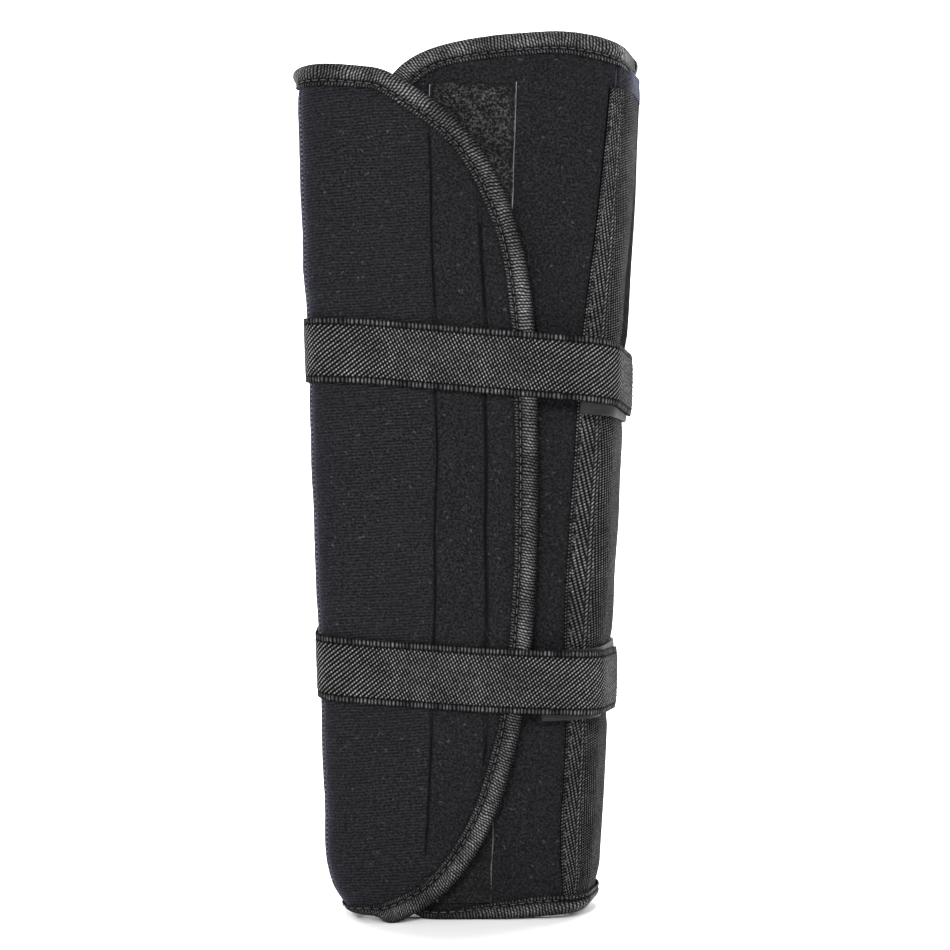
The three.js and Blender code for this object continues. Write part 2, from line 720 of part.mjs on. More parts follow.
// Straps: the anchor is sewn to the flap, the strap peels from the front, the base strap stays
const ANCHOR = { behind: 4.5, past: 2 }; // from the flap's fold, and past the middle of the anchor
const ANCHOR_FROM = strapCurve.nearest({ x: LEFT_FRONT.x, y: FLAP_HINGE.y - ANCHOR.behind });
const STRAP_HINGE_U = (ANCHOR_FROM + STRAP_FROM) / 2 + ANCHOR.past;
for (const [name, strap] of Object.entries(STRAPS)) {
  const height = strapHeight(strap);
  const strapBand = (from, to, inner, outer, narrower = 0) => {
    return band(strapCurve, from, to, height, STRAP.width - narrower, inner, outer);
  };
  add(
    `strap_${name}_anchor`,
    strapBand(ANCHOR_FROM, STRAP_HINGE_U - GAP / 2, 0, STRAP.thickness),
    "strap",
  );
  add(`strap_${name}`, strapBand(STRAP_HINGE_U + GAP / 2, STRAP_TO, 0, STRAP.thickness), "strap");
  add(
    `strap_${name}_hook_tab`,
    strapBand(STRAP_TO - HOOK_TAB.length, STRAP_TO - HOOK_TAB.inset, -GAP - TAPE, -GAP, 2),
    "hook",
  );
  add(`base_strap_${name}`, baseStrap(strap), "smooth");
}

// Lines that the moving bodies turn about or slide along, each as a point and a direction
function generator(curve, u, n) {
  const low = place(curve, u, 0, n);
  const axis = place(curve, u, 1, n).sub(low).normalize();
  return { point: place(curve, u, HALF_HEIGHT, n), axis };
}
group.userData.lines = {
  flap: generator(wall, AT.flapHinge, HINGE_LIFT),
  under_panel: generator(wall, AT.underHinge, HINGE_LIFT),
  strap: generator(strapCurve, STRAP_HINGE_U, STRAP.thickness + GAP),
  ...stayLines,
};

export default group;
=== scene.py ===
import math

import bpy
import numpy as np
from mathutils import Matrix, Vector


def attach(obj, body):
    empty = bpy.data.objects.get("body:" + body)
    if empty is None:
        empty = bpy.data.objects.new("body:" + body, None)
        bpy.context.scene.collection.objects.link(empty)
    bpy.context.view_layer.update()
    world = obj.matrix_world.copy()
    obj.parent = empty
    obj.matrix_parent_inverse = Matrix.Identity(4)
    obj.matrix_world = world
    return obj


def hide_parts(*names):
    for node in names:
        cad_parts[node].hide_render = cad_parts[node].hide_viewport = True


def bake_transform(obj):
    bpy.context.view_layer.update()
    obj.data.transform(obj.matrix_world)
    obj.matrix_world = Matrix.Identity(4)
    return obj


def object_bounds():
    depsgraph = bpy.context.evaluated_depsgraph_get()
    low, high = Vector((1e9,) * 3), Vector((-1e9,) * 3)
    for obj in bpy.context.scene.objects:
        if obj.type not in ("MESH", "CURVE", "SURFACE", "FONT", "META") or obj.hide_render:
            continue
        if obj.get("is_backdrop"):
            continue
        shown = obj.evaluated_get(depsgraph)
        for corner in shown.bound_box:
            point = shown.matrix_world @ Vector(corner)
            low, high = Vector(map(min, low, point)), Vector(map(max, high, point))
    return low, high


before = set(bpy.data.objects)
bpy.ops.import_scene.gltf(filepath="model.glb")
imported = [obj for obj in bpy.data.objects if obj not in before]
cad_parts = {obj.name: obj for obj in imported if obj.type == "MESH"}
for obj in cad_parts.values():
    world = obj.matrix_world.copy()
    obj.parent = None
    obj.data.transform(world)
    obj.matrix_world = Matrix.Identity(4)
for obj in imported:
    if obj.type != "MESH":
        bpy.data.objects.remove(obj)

CAD_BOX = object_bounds()

# The looks of a padded forearm guard. Sizes are in millimetres until a mesh is made, and MM turns
# them into the frame's metres. The wall is the same tapered spiral in plan as the CAD model's.

MM = 0.001

# ---- driving dimensions

HEIGHT_RIGHT = 354.0
HEIGHT_SIDE = 349.5  # the top edge dips a little where it turns round the right side
HEIGHT_LEFT = 345.0
WIDTH_MIDDLE = 126.4
HALF_HEIGHT = 175.0
TAPER = 0.093  # how much wider the guard gets for each millimetre up
APEX = (-13.5, 0.0)  # the place in plan that the taper runs towards
MIDDLE = (0.084, 1.81)  # taken off the plan, to centre the guard
TOP_DIP = (-20, 10)  # where the top edge drops, before and past the right front corner

COVER = 0.8
FOAM = 2.4
LINING = 0.7
GAP = 0.3
WALL_INSIDE = -(COVER + FOAM + LINING + 2 * GAP)
BINDING_WIDTH = 9.2
EDGE_INSET = 1.3  # the layers stop this far short of a bound edge
STAY_HALF = 9.0  # half the raised stretch of a side webbing
LIP = 1.4  # how far a side webbing stands out at its edges
BUMP = 3.7  # and over its stay
STRAP_WIDTH = 25.4
STRAP_THICKNESS = 1.2
BASE_STRAP_WIDTH = 28.0
BASE_STRAP_THICKNESS = 0.8
TAPE = 0.6
HOOK_TAB = 42.0  # how much of a strap's end carries hook tape
TAB_SLACK = 0.05  # more room under a hook tab

# The foot is drawn in and lifted round the left fold: the height it reaches, where along the wall it
# starts from the left stay, where it begins to end in front, and how soon it is gone
TUCK = {
    "height": 34, "draw": 9, "lift": 3, "starts": (-4, 16), "from_x": -53, "fade": 33, "lift_share": 0.38,
}
# The top edge sags a little behind the left fold, and the foot is lifted all along the right side
SAG = {"drop": 2.4, "height": 32, "behind": 8, "reach": 14}
RIGHT_FOOT = {"lift": 1.8, "fade": 35}

# Corners of the wall in plan at half height: x, y and the radius it is rounded to
UNDER_EDGE = (-36, -27)
RIGHT_FRONT = (51.5, -26.6, 14)
RIGHT_SIDE = (59.7, 4, 26)
RIGHT_BACK = (53, 33.5, 20)
BACK = (3, 36, 500)
LEFT_BACK = (-40, 34.5, 16)
LEFT_SIDE = (-62.8, 10, 16)
LEFT_FRONT = (-62.2, -33.8, 12)
FLAP_CROWN = (-10, -35.2, 400)
FLAP_END = (40, -34.3)
FLAP_HINGE = (-62.7, 2.2)
UNDER_HINGE = (27, -26.9)
STRAP_OVER_BINDING = (30, -36.1, 150)
STRAP_CORNER = (56.2, -33.4, 15)
BASE_START = (24, -34.2)
BASE_CORNER = (54.7, -31.4, 13)
BASE_END = (-38, 40)
BASE_FRONT_Y = -34
FRONT_Y = -30  # the whole front of the flap lies forward of this
UNDER_REACH = 48  # and the whole front of the under panel left of this


# ---- plan curves

def fillet(before, corner, after):
    """Points of the arc that rounds a corner."""
    at, radius = np.array(corner[:2], float), corner[2]
    back = np.array(before[:2], float) - at
    on = np.array(after[:2], float) - at
    back /= np.linalg.norm(back)
    on /= np.linalg.norm(on)
    half = math.acos(np.clip(back @ on, -1, 1)) / 2
    middle = (back + on) / np.linalg.norm(back + on)
    centre = at + middle * radius / math.sin(half)
    start = at + back * radius / math.tan(half) - centre
    turn = math.pi - 2 * half
    first = math.atan2(start[1], start[0])
    angles = first + np.linspace(0, turn, max(8, int(turn * 30)))
    return centre + radius * np.stack([np.cos(angles), np.sin(angles)], 1)


def smooth(values, reach):
    """A running mean over reach samples each way, with the ends held."""
    if reach < 1:
        return values
    padded = np.concatenate([np.repeat(values[:1], reach, 0), values, np.repeat(values[-1:], reach, 0)])
    total = np.cumsum(np.concatenate([np.zeros_like(padded[:1]), padded]), 0)
    return (total[2 * reach + 1:] - total[:-2 * reach - 1]) / (2 * reach + 1)


class PlanCurve:
    """A run of straight stretches and arcs, followed anticlockwise and measured along its length."""

    STEP = 0.1

    def __init__(self, corners):
        runs = [np.array([corners[0][:2]], float)]
        for before, corner, after in zip(corners, corners[1:], corners[2:]):
            runs.append(fillet(before, corner, after))
        runs.append(np.array([corners[-1][:2]], float))
        points = np.concatenate(runs)
        lengths = lengths_along(points)
        self.length = lengths[-1]
        self.u = np.arange(0, self.length, self.STEP)
        self.xy = resample(self.u, lengths, points)
        tangent = smooth(np.gradient(self.xy, axis=0), 6)
        tangent /= np.linalg.norm(tangent, axis=1)[:, None]
        self.out = np.stack([tangent[:, 1], -tangent[:, 0]], 1)

    def at(self, u, values):
        return resample(u, self.u, values)

    def nearest(self, place):
        return float(self.u[np.argmin(np.linalg.norm(self.xy - np.array(place[:2]), axis=1))])


def scale_at(z):
    return 1 + TAPER * (z - HALF_HEIGHT) / WIDTH_MIDDLE


def place(curve, u, z, n):
    """Points of the tapered wall in metres: u along the curve, z up, n out from it."""
    u, z, n = np.broadcast_arrays(u, z, n)
    at, out = curve.at(u, curve.xy), curve.at(u, curve.out)
    plan = (at - APEX) * scale_at(z)[..., None] + APEX + out * n[..., None] - MIDDLE
    if curve is not wall:
        return np.concatenate([plan, z[..., None]], -1) * MM
    # The cover is gathered in at the foot of the left fold, sags a little at its top, and stands a
    # little off the ground at the right
    near_foot = np.clip(1 - z / TUCK["height"], 0, 1) ** 3
    start = [U_LEFT_STAY + past for past in TUCK["starts"]]
    draw = between(u, start, (U_TUCK, U_TUCK + TUCK["fade"]))
    lift = between(u, start, (U_TUCK, U_TUCK + TUCK["lift_share"] * TUCK["fade"]))
    plan = plan + np.stack([TUCK["draw"] * near_foot * draw, 0 * z], -1)
    at_fold = np.exp(-((u - U_LEFT_FRONT + SAG["behind"]) / SAG["reach"]) ** 2)
    sag = SAG["drop"] * step_up(z, HEIGHT_LEFT - SAG["height"], HEIGHT_LEFT) * at_fold
    fade = RIGHT_FOOT["fade"]
    right = between(u, (U_RIGHT_FRONT - fade, U_RIGHT_FRONT), (U_BACK_STAY - fade, U_BACK_STAY))
    raised_z = z + near_foot * (TUCK["lift"] * lift + RIGHT_FOOT["lift"] * right) - sag
    return np.concatenate([plan, raised_z[..., None]], -1) * MM


def step_up(x, low, high):
    """0 below low, 1 above high, and smooth between."""
    t = np.clip((x - low) / (high - low), 0, 1)
    return t * t * (3 - 2 * t)


def between(x, rise, fall):
    """1 between two soft edges and 0 outside them. Each edge has a start and an end."""
    return step_up(x, *rise) * (1 - step_up(x, *fall))


def lerp(a, b, t):
    return a + (b - a) * t


def lengths_along(points):
    return np.concatenate([[0], np.cumsum(np.linalg.norm(np.diff(points, axis=0), axis=1))])


def resample(at, lengths, points):
    """The points at some distances along a line of points."""
    return np.stack([np.interp(at, lengths, column) for column in points.T], -1)


def unevenness(a, b, length, seed):
    """A smooth wandering height between about -1 and 1, with humps about length long."""
    rng = np.random.default_rng(seed)
    total = np.zeros(np.broadcast(a, b).shape)
    for _ in range(7):
        angle, phase = rng.uniform(0, 2 * math.pi, 2)
        wave = 2 * math.pi / (length * rng.uniform(0.7, 1.6))
        total = total + np.sin(wave * (a * math.cos(angle) + b * math.sin(angle)) + phase)
    return total / 3.5


wall = PlanCurve([
    UNDER_EDGE, RIGHT_FRONT, RIGHT_SIDE, RIGHT_BACK, BACK,
    LEFT_BACK, LEFT_SIDE, LEFT_FRONT, FLAP_CROWN, FLAP_END,
])


def halfway(a, b):
    return ((a[0] + b[0]) / 2, (a[1] + b[1]) / 2)


U_UNDER_HINGE = wall.nearest(UNDER_HINGE)
U_RIGHT_FRONT = wall.nearest(RIGHT_FRONT)
U_RIGHT_STAY = wall.nearest(halfway(RIGHT_FRONT, RIGHT_SIDE))
U_BACK_STAY = wall.nearest(BACK)
U_LEFT_STAY = wall.nearest(halfway(LEFT_BACK, LEFT_SIDE))
U_FLAP_HINGE = wall.nearest(FLAP_HINGE)
U_LEFT_FRONT = wall.nearest(LEFT_FRONT)
U_TUCK = wall.nearest((TUCK["from_x"], LEFT_FRONT[1]))


def top_edge(u):
    dip = step_up(u, *[U_RIGHT_FRONT + past for past in TOP_DIP])
    along = np.clip((u - U_RIGHT_STAY) / (U_FLAP_HINGE - U_RIGHT_STAY), 0, 1)
    return lerp(HEIGHT_RIGHT, lerp(HEIGHT_SIDE, HEIGHT_LEFT, along), dip)


def front_u(x, z, flap):
    """The u of a place seen from the front, at a true distance x from the middle."""
    out_from_apex = np.asarray(x, float) + MIDDLE[0] - APEX[0]
    plan_x = out_from_apex / scale_at(np.asarray(z, float)) + APEX[0]
    if flap:
        chosen = (wall.u > U_LEFT_FRONT) & (wall.xy[:, 1] < FRONT_Y)
    else:
        chosen = (wall.u < U_RIGHT_FRONT) & (wall.xy[:, 0] < UNDER_REACH)
    return np.interp(plan_x, wall.xy[chosen, 0], wall.u[chosen])


# ---- meshes

FINE = 0.28  # between the points of a mesh that shows a weave


def mesh_object(name, points, faces, cloth=None):
    """A smooth-shaded object. cloth holds each point's place along and across its cloth, and its height in
    the weave from 0 to 1, from which the materials paint shade and highlights."""
    mesh = bpy.data.meshes.new(name)
    mesh.from_pydata(points.tolist(), [], faces)
    mesh.polygons.foreach_set("use_smooth", np.ones(len(mesh.polygons), bool))
    if cloth is not None:
        layer = mesh.attributes.new("cloth", "FLOAT_VECTOR", "POINT")
        layer.data.foreach_set("vector", cloth.astype(np.float32).ravel())
    mesh.validate()
    mesh.update()
    thing = bpy.data.objects.new(name, mesh)
    bpy.context.scene.collection.objects.link(thing)
    return thing


def grid_quads(rows, columns, offset=0):
    ids = np.arange(rows * columns).reshape(rows, columns) + offset
    quads = np.stack([ids[:-1, :-1], ids[:-1, 1:], ids[1:, 1:], ids[1:, :-1]], -1)
    return quads.reshape(-1, 4)


def relief_slab(name, curve, u, z, outer, inner, cloth, chunk=12):
    """A closed sheet between two distances from a curve. Its front has every point of the grid, with
    rows upwards and columns to the right, and its back every column but one row in each chunk."""
    front, back = place(curve, u, z, outer), place(curve, u, z, inner)
    cloth = np.stack(np.broadcast_arrays(*cloth), -1)
    rows, columns = front.shape[:2]
    kept = sorted({*range(0, rows, chunk), rows - 1})
    plain = back[kept]
    points = np.concatenate([front.reshape(-1, 3), plain.reshape(-1, 3)])
    faces = grid_quads(rows, columns).tolist()
    start = rows * columns
    faces += grid_quads(len(kept), columns, start)[:, ::-1].tolist()
    far = (len(kept) - 1) * columns + start
    top = (rows - 1) * columns
    for j in range(columns - 1):
        faces.append([j, start + j, start + j + 1, j + 1])
        faces.append([top + j, top + j + 1, far + j + 1, far + j])
    for k, (low, high) in enumerate(zip(kept, kept[1:])):
        left = [i * columns for i in range(low, high + 1)]
        faces.append([*left, start + (k + 1) * columns, start + k * columns])
        right = [i * columns + columns - 1 for i in range(high, low - 1, -1)]
        faces.append([*right, start + (k + 1) * columns - 1, start + (k + 2) * columns - 1])
    both = np.concatenate([cloth.reshape(-1, 3), cloth[kept].reshape(-1, 3)])
    return mesh_object(name, points, faces, both)


def ring_faces(count, around, offset=0):
    """The faces of a closed section carried along stations, with flat ends."""
    ids = np.arange(count * around).reshape(count, around) + offset
    after = np.roll(ids, -1, axis=1)
    quads = np.stack([ids[:-1], after[:-1], after[1:], ids[1:]], -1).reshape(-1, 4)
    return [*quads.tolist(), ids[0][::-1].tolist(), ids[-1].tolist()]


# ---- the panels' free edges

def bezier(points, count):
    t = np.linspace(0, 1, count)[:, None]
    a, b, c, d = (np.array(p, float) for p in points)
    return a * (1 - t) ** 3 + 3 * b * t * (1 - t) ** 2 + 3 * c * t ** 2 * (1 - t) + d * t ** 3


FLAP_EDGE = np.concatenate([
    bezier([(-31, 0), (27, 16), (29, 120), (27, 215)], 120),
    bezier([(27, 215), (26, 308), (-9, 323), (-34, 337.6)], 120)[1:],
])
UNDER_PANEL_EDGE = np.concatenate([
    bezier([(-13, 0), (-27, 0), (-34, 10), (-34.5, 40)], 60),
    bezier([(-40.8, 300), (-39.5, 345), (-20, 348), (12, 352.6)], 60),
])


def inward(track, hand):
    """For each point of a line of u and z, the direction to its left (hand 1) or right (hand -1)
    along the wall, for one true millimetre."""
    k = scale_at(track[:, 1])
    along = np.gradient(track, axis=0)
    along = smooth(np.stack([along[:, 0] * k, along[:, 1]], 1), 4)
    along /= np.linalg.norm(along, axis=1)[:, None]
    return hand * np.stack([-along[:, 1] / k, along[:, 0]], 1)


class Panel:
    """One half of the wrap: from the middle of the back, round a side, to its free edge."""

    def __init__(self, edge, flap, hinge, top, hand):
        self.flap = flap
        self.hinge = hinge
        self.top = top
        self.hand = hand
        self.edge = np.stack([front_u(edge[:, 0], edge[:, 1], flap), edge[:, 1]], 1)
        self.inward = inward(self.edge, hand)

    def grid(self, rows, root_columns, free_columns):
        """u and z of a net over the half, and how far each point is from the binding."""
        start = self.edge + EDGE_INSET * self.inward
        keep = np.linspace(0, len(start) - 1, rows)
        at = np.arange(len(start))
        end_u, end_z = (np.interp(keep, at, start[:, c]) for c in (0, 1))
        lean = np.abs(np.interp(keep, at, self.inward[:, 0])) * scale_at(end_z)
        low, high = end_z.min(), end_z.max()
        up = ((end_z - low) / (high - low))[:, None]
        root_u = np.linspace(U_BACK_STAY, self.hinge, root_columns)[None, :-1]
        root_u = np.repeat(root_u, rows, 0)
        root_z = lerp(EDGE_INSET, top_edge(root_u) - EDGE_INSET, up)
        share = np.linspace(0, 1, free_columns)[None, :]
        free_u = lerp(self.hinge, end_u[:, None], share)
        hinge_z = lerp(EDGE_INSET, self.top - EDGE_INSET, up)
        free_z = lerp(hinge_z, end_z[:, None], share)
        u = np.concatenate([root_u, free_u], 1)
        z = np.concatenate([root_z, free_z], 1)
        ceiling = np.where(up < 0, 0, z[-1:, :])
        from_edge = np.abs(u - end_u[:, None]) * scale_at(z) * lean[:, None]
        gap = np.minimum(np.minimum(z, ceiling - z), from_edge) - BINDING_WIDTH + EDGE_INSET
        if not self.flap:
            u, z, gap = u[:, ::-1], z[:, ::-1], gap[:, ::-1]
        return u, z, gap


LEFT = Panel(FLAP_EDGE, True, U_FLAP_HINGE, HEIGHT_LEFT, 1)
RIGHT = Panel(UNDER_PANEL_EDGE, False, U_UNDER_HINGE, HEIGHT_RIGHT, -1)


# ---- straps' lines in plan

LOWEST_SCALE = scale_at(75)
BASE_LIFT = (BUMP + GAP) / LOWEST_SCALE
STRAP_LIFT = BASE_LIFT + (BASE_STRAP_THICKNESS + 2 * GAP + TAPE + TAB_SLACK) / LOWEST_SCALE


def outward_of(a, b):
    side = np.array([b[1] - a[1], a[0] - b[0]], float)
    return side / np.linalg.norm(side)


def pushed_out(before, corner, after, lift):
    """A corner of a line that runs outside the wall by a lift."""
    first, second = outward_of(before, corner), outward_of(corner, after)
    mitre = (first + second) * lift / (1 + first @ second)
    return (corner[0] + mitre[0], corner[1] + mitre[1], corner[2] + lift)


strap_curve = PlanCurve([
    (LEFT_SIDE[0] - GAP, LEFT_SIDE[1]),
    (LEFT_FRONT[0] - GAP, LEFT_FRONT[1] - 0.6, LEFT_FRONT[2] + GAP),
    (FLAP_CROWN[0], FLAP_CROWN[1] - 0.8, FLAP_CROWN[2]),
    STRAP_OVER_BINDING,
    STRAP_CORNER,
    np.array(RIGHT_SIDE[:2]) + STRAP_LIFT * outward_of(RIGHT_FRONT, RIGHT_SIDE),
])
base_curve = PlanCurve([
    BASE_START,
    BASE_CORNER,
    pushed_out(RIGHT_FRONT, RIGHT_SIDE, RIGHT_BACK, BASE_LIFT),
    pushed_out(RIGHT_SIDE, RIGHT_BACK, BACK, BASE_LIFT),
    pushed_out(RIGHT_BACK, BACK, LEFT_BACK, BASE_LIFT),
    (LEFT_BACK[0], LEFT_BACK[1] + BASE_LIFT),
])
STRAP_FROM = strap_curve.nearest((LEFT_FRONT[0], -9.5))
STRAP_TO = strap_curve.length - 2
ANCHOR_FROM = strap_curve.nearest((LEFT_FRONT[0], FLAP_HINGE[1] - 4.5))
# For each strap: heights of its middle at even steps along it, heights of the base strap's middle at
# its start, the right side and the back, the x where the base strap starts, and how far in from its
# line the strap settles at its right end
STRAPS = {
    "upper": {
        "line": (227.8, 226.3, 222.6, 219.3, 214.5), "base": (215.8, 213.5, 213), "start": 43,
        "settle": 1.3,
    },
    "lower": {
        "line": (103.2, 99.9, 97.1, 95.4, 94.6), "base": (94.2, 96.2, 97), "start": 32,
        "settle": 0.7,
    },
}
ACROSS_FLAP = 0.72  # the share of a strap that lies on the flap
ON_UNDER_PANEL = 0.95  # and the share of the way along it that presses on the right side
FOLD_TURN = 12  # from the flap's hinge to where a strap starts across the front


def strap_middle(strap, along):
    """The height of a strap's middle at a share of the way from the left fold to its end."""
    line = strap["line"]
    return np.interp(along, np.linspace(0, 1, len(line)), line)


def under_strap(u, z, reach=18):
    """1 where a strap presses on the wall, and 0 well away from it."""
    start = U_FLAP_HINGE + FOLD_TURN
    across = np.clip((u - start) / (wall.length - start), 0, 1)
    share = np.where(u > U_FLAP_HINGE - FOLD_TURN / 2, ACROSS_FLAP * across, ON_UNDER_PANEL)
    press = np.zeros(np.broadcast(u, z).shape)
    for strap in STRAPS.values():
        away = np.abs(z - strap_middle(strap, share)) - STRAP_WIDTH / 2
        press = np.maximum(press, 1 - step_up(away, 0, reach))
    return press


# ---- materials

RIB_PITCH = 1.2  # of the knit
THREAD_ROUGHNESS = 0.5
THREAD_GLOSS = 0.4


class Shader:
    """A material made node by node."""

    def __init__(self, name, color, roughness, **sockets):
        self.material = bpy.data.materials.new(name)
        self.material.use_nodes = True
        self.nodes = self.material.node_tree.nodes
        self.links = self.material.node_tree.links
        self.surface = self.nodes["Principled BSDF"]
        self.set(self.surface, {"Base Color": (*color, 1), "Roughness": roughness, **sockets})

    def set(self, node, sockets):
        for name, value in sockets.items():
            if isinstance(value, bpy.types.NodeSocket):
                self.links.new(value, node.inputs[name])
            else:
                node.inputs[name].default_value = value

    def add(self, kind, sockets=None, **settings):
        node = self.nodes.new(kind)
        for name, value in settings.items():
            setattr(node, name, value)
        self.set(node, sockets or {})
        return node

    def math(self, operation, *values):
        node = self.add("ShaderNodeMath", operation=operation)
        self.set(node, dict(enumerate(values)))
        return node.outputs[0]

    def cloth(self):
        """Outputs along, across and height, from the mesh's cloth attribute."""
        attribute = self.add("ShaderNodeAttribute", attribute_name="cloth")
        split = self.add("ShaderNodeSeparateXYZ", {0: attribute.outputs["Vector"]})
        return attribute.outputs["Vector"], *split.outputs

    def times(self, a, b):
        return self.math("MULTIPLY", a, b)

    def scaled(self, value, by, plus):
        return self.math("MULTIPLY_ADD", value, by, plus)

    def noise(self, vector, scale, detail, stretch=(1, 1, 1)):
        place_node = self.add("ShaderNodeVectorMath", {0: vector, 1: stretch}, operation="MULTIPLY")
        sockets = {"Vector": place_node.outputs[0], "Scale": scale, "Detail": detail}
        return self.add("ShaderNodeTexNoise", sockets).outputs[0]

    def ridges(self, value, pitch, sharpness=1.0):
        """A wave from 0 to 1 that repeats every pitch millimetres of value."""
        wave = self.math("SINE", self.times(value, 2 * math.pi / pitch))
        return self.math("POWER", self.scaled(wave, 0.5, 0.5), sharpness)

    def mix(self, share, low, high):
        node = self.add("ShaderNodeMix", data_type="RGBA")
        self.set(node, {0: share, 6: low, 7: high})
        return node.outputs[2]

    def ramp(self, value, low, high):
        node = self.add("ShaderNodeMapRange", {0: value, 1: low, 2: high, 3: 0.0, 4: 1.0})
        return node.outputs[0]

    def finished(self, sockets, height, strength, distance):
        """The material, with the surface's last sockets and its bumps."""
        self.set(self.surface, sockets)
        node = self.add("ShaderNodeBump", {"Height": height, "Strength": strength, "Distance": distance})
        self.set(self.surface, {"Normal": node.outputs[0]})
        return self.material


def grey(value, blue=1.0):
    return (value, value, value * blue, 1)


def knit_material(name, dark, light, ribs_from=-1, ribs_to=0):
    """Fine knit with a soft nap: mottled threads, ribs across on the wall between two places along it, and
    a bluish sheen. Its height is 0 in the bottom of a seam and 1 elsewhere; where it is low the colour is
    darkened as painted shade in the seam."""
    s = Shader(name, grey(dark)[:3], 0.95, **{
        "Sheen Weight": 0.16, "Sheen Roughness": 0.4, "Sheen Tint": (0.58, 0.62, 0.95, 1),
        "Specular IOR Level": 0.06,
    })
    vector, along, up, height = s.cloth()
    slope = TAPER / WIDTH_MIDDLE
    place_u = s.math("DIVIDE", along, s.scaled(up, slope, 1 - slope * HALF_HEIGHT))
    begun = s.ramp(place_u, ribs_from, ribs_from + 4)
    ended = s.ramp(place_u, ribs_to - 4, ribs_to)
    ribbed = s.times(begun, s.math("SUBTRACT", 1.0, ended))
    threads = s.noise(vector, 1.15, 4.0)
    blotches = s.noise(vector, 0.05, 2.0)
    speck = s.ramp(s.noise(vector, 0.55, 1.0), 0.71, 0.76)
    wobble = s.scaled(s.noise(vector, 0.05, 1.0), 1.6, up)
    lines = s.times(s.ridges(s.scaled(along, -0.06, wobble), RIB_PITCH), ribbed)
    nap = s.scaled(lines, 0.15, s.scaled(ribbed, -0.05, threads))
    tone = s.mix(s.ramp(nap, 0.4, 0.74), grey(dark, 1.12), grey(light, 1.14))
    tone = s.mix(s.times(blotches, 0.3), tone, grey(dark * 0.9, 1.1))
    tone = s.mix(s.times(speck, 0.45), tone, grey(light * 2.4))
    # Painted shade: the colour goes near black where the height channel is low, in the seams.
    tone = s.mix(height, grey(dark * 0.15), tone)
    return s.finished({"Base Color": tone}, s.scaled(lines, 0.5, threads), 0.6, 0.0004)


def woven_material(name, dark, light):
    """Woven tape whose threads show in the mesh: near black in the crevices as painted shade, and pale on
    top as a painted highlight.
    """
    s = Shader(name, grey(dark)[:3], THREAD_ROUGHNESS)
    vector, _, _, height = s.cloth()
    fibres = s.noise(vector, 0.8, 3.0)
    wear = s.ramp(s.noise(vector, 0.06, 2.0), 0.3, 0.72)
    # Painted highlight and shade: colour and gloss follow the height in the weave, pale on the thread tops
    # and near black between them.
    lit = s.math("POWER", height, 2.0)
    share = s.times(lit, s.scaled(s.ramp(fibres, 0.3, 0.7), 0.85, 0.25))
    share = s.times(share, s.scaled(wear, 0.45, 0.7))
    return s.finished({
        "Base Color": s.mix(share, grey(dark), grey(light, 1.02)),
        "Specular IOR Level": s.times(share, THREAD_GLOSS),
    }, s.scaled(fibres, 0.4, height), 0.6, 0.0003)


def ribbed_material(name, dark, light, pitch, dots):
    """Binding tape with ribs across it, each broken into dots. Its height is a painted highlight that
    follows the roll of the edge: brightest on its crest, with painted shade in the stitch groove."""
    s = Shader(name, grey(dark)[:3], 0.48)
    vector, along, around, height = s.cloth()
    sway = s.scaled(s.noise(vector, 0.14, 2.0), 2.6, along)
    ribs = s.ridges(s.scaled(around, 0.16, sway), pitch, 1.4)
    staggered = s.scaled(along, 0.5 * dots / pitch, around)
    spots = s.scaled(s.ridges(staggered, dots), 0.75, 0.25)
    fibres = s.ramp(s.noise(vector, 0.7, 3.0), 0.3, 0.7)
    threads = s.times(ribs, spots)
    dimmed = s.scaled(s.ramp(s.noise(vector, 0.045, 2.0), 0.35, 0.65), 0.7, 0.45)
    lit = s.times(threads, s.scaled(fibres, 0.8, 0.3))
    lit = s.times(lit, dimmed)
    # Painted highlight: the colour and gloss rise with the section's painted brightness.
    share = s.times(lit, height)
    return s.finished({
        "Base Color": s.mix(share, grey(dark), grey(light)),
        "Specular IOR Level": s.times(share, 0.5),
    }, threads, 0.8, 0.0004)


def pile_material(name, dark, light, scale):
    """Fuzzy loop pile. Its height is 2 along a bare sealed edge, where the colour is a pale painted
    highlight, and at most 1 elsewhere.
    """
    s = Shader(name, grey(dark)[:3], 0.9, **{
        "Sheen Weight": 0.04, "Sheen Roughness": 0.5, "Specular IOR Level": 0.1,
    })
    vector, _, _, height = s.cloth()
    curls = s.noise(vector, scale, 3.0)
    fuzz = s.noise(vector, scale * 2.3, 2.0)
    matted = s.scaled(s.ramp(s.noise(vector, 0.1, 3.0), 0.35, 0.65), 0.75, 0.35)
    tufts = s.times(s.ramp(curls, 0.45, 0.68), s.scaled(height, 0.9, 0.15))
    tone = s.mix(s.times(tufts, matted), grey(dark), grey(light, 1.03))
    tone = s.mix(s.ramp(height, 1.1, 1.7), tone, grey(light * 2.5))
    return s.finished({"Base Color": tone}, s.math("ADD", curls, s.times(fuzz, 0.5)), 0.9, 0.0007)


def smooth_material(name, dark, light, roughness, gloss):
    """Smooth tape or moulded plastic, faintly streaked and scuffed."""
    s = Shader(name, grey(dark)[:3], roughness, **{"Specular IOR Level": gloss})
    vector, _, _, _ = s.cloth()
    streaks = s.noise(vector, 0.6, 3.0, (0.3, 2.5, 1))
    scuffs = s.noise(vector, 0.15, 4.0)
    return s.finished({
        "Base Color": s.mix(streaks, grey(dark, 1.1), grey(light, 1.1)),
        "Roughness": s.scaled(scuffs, 0.25, roughness - 0.1),
    }, streaks, 0.25, 0.0002)


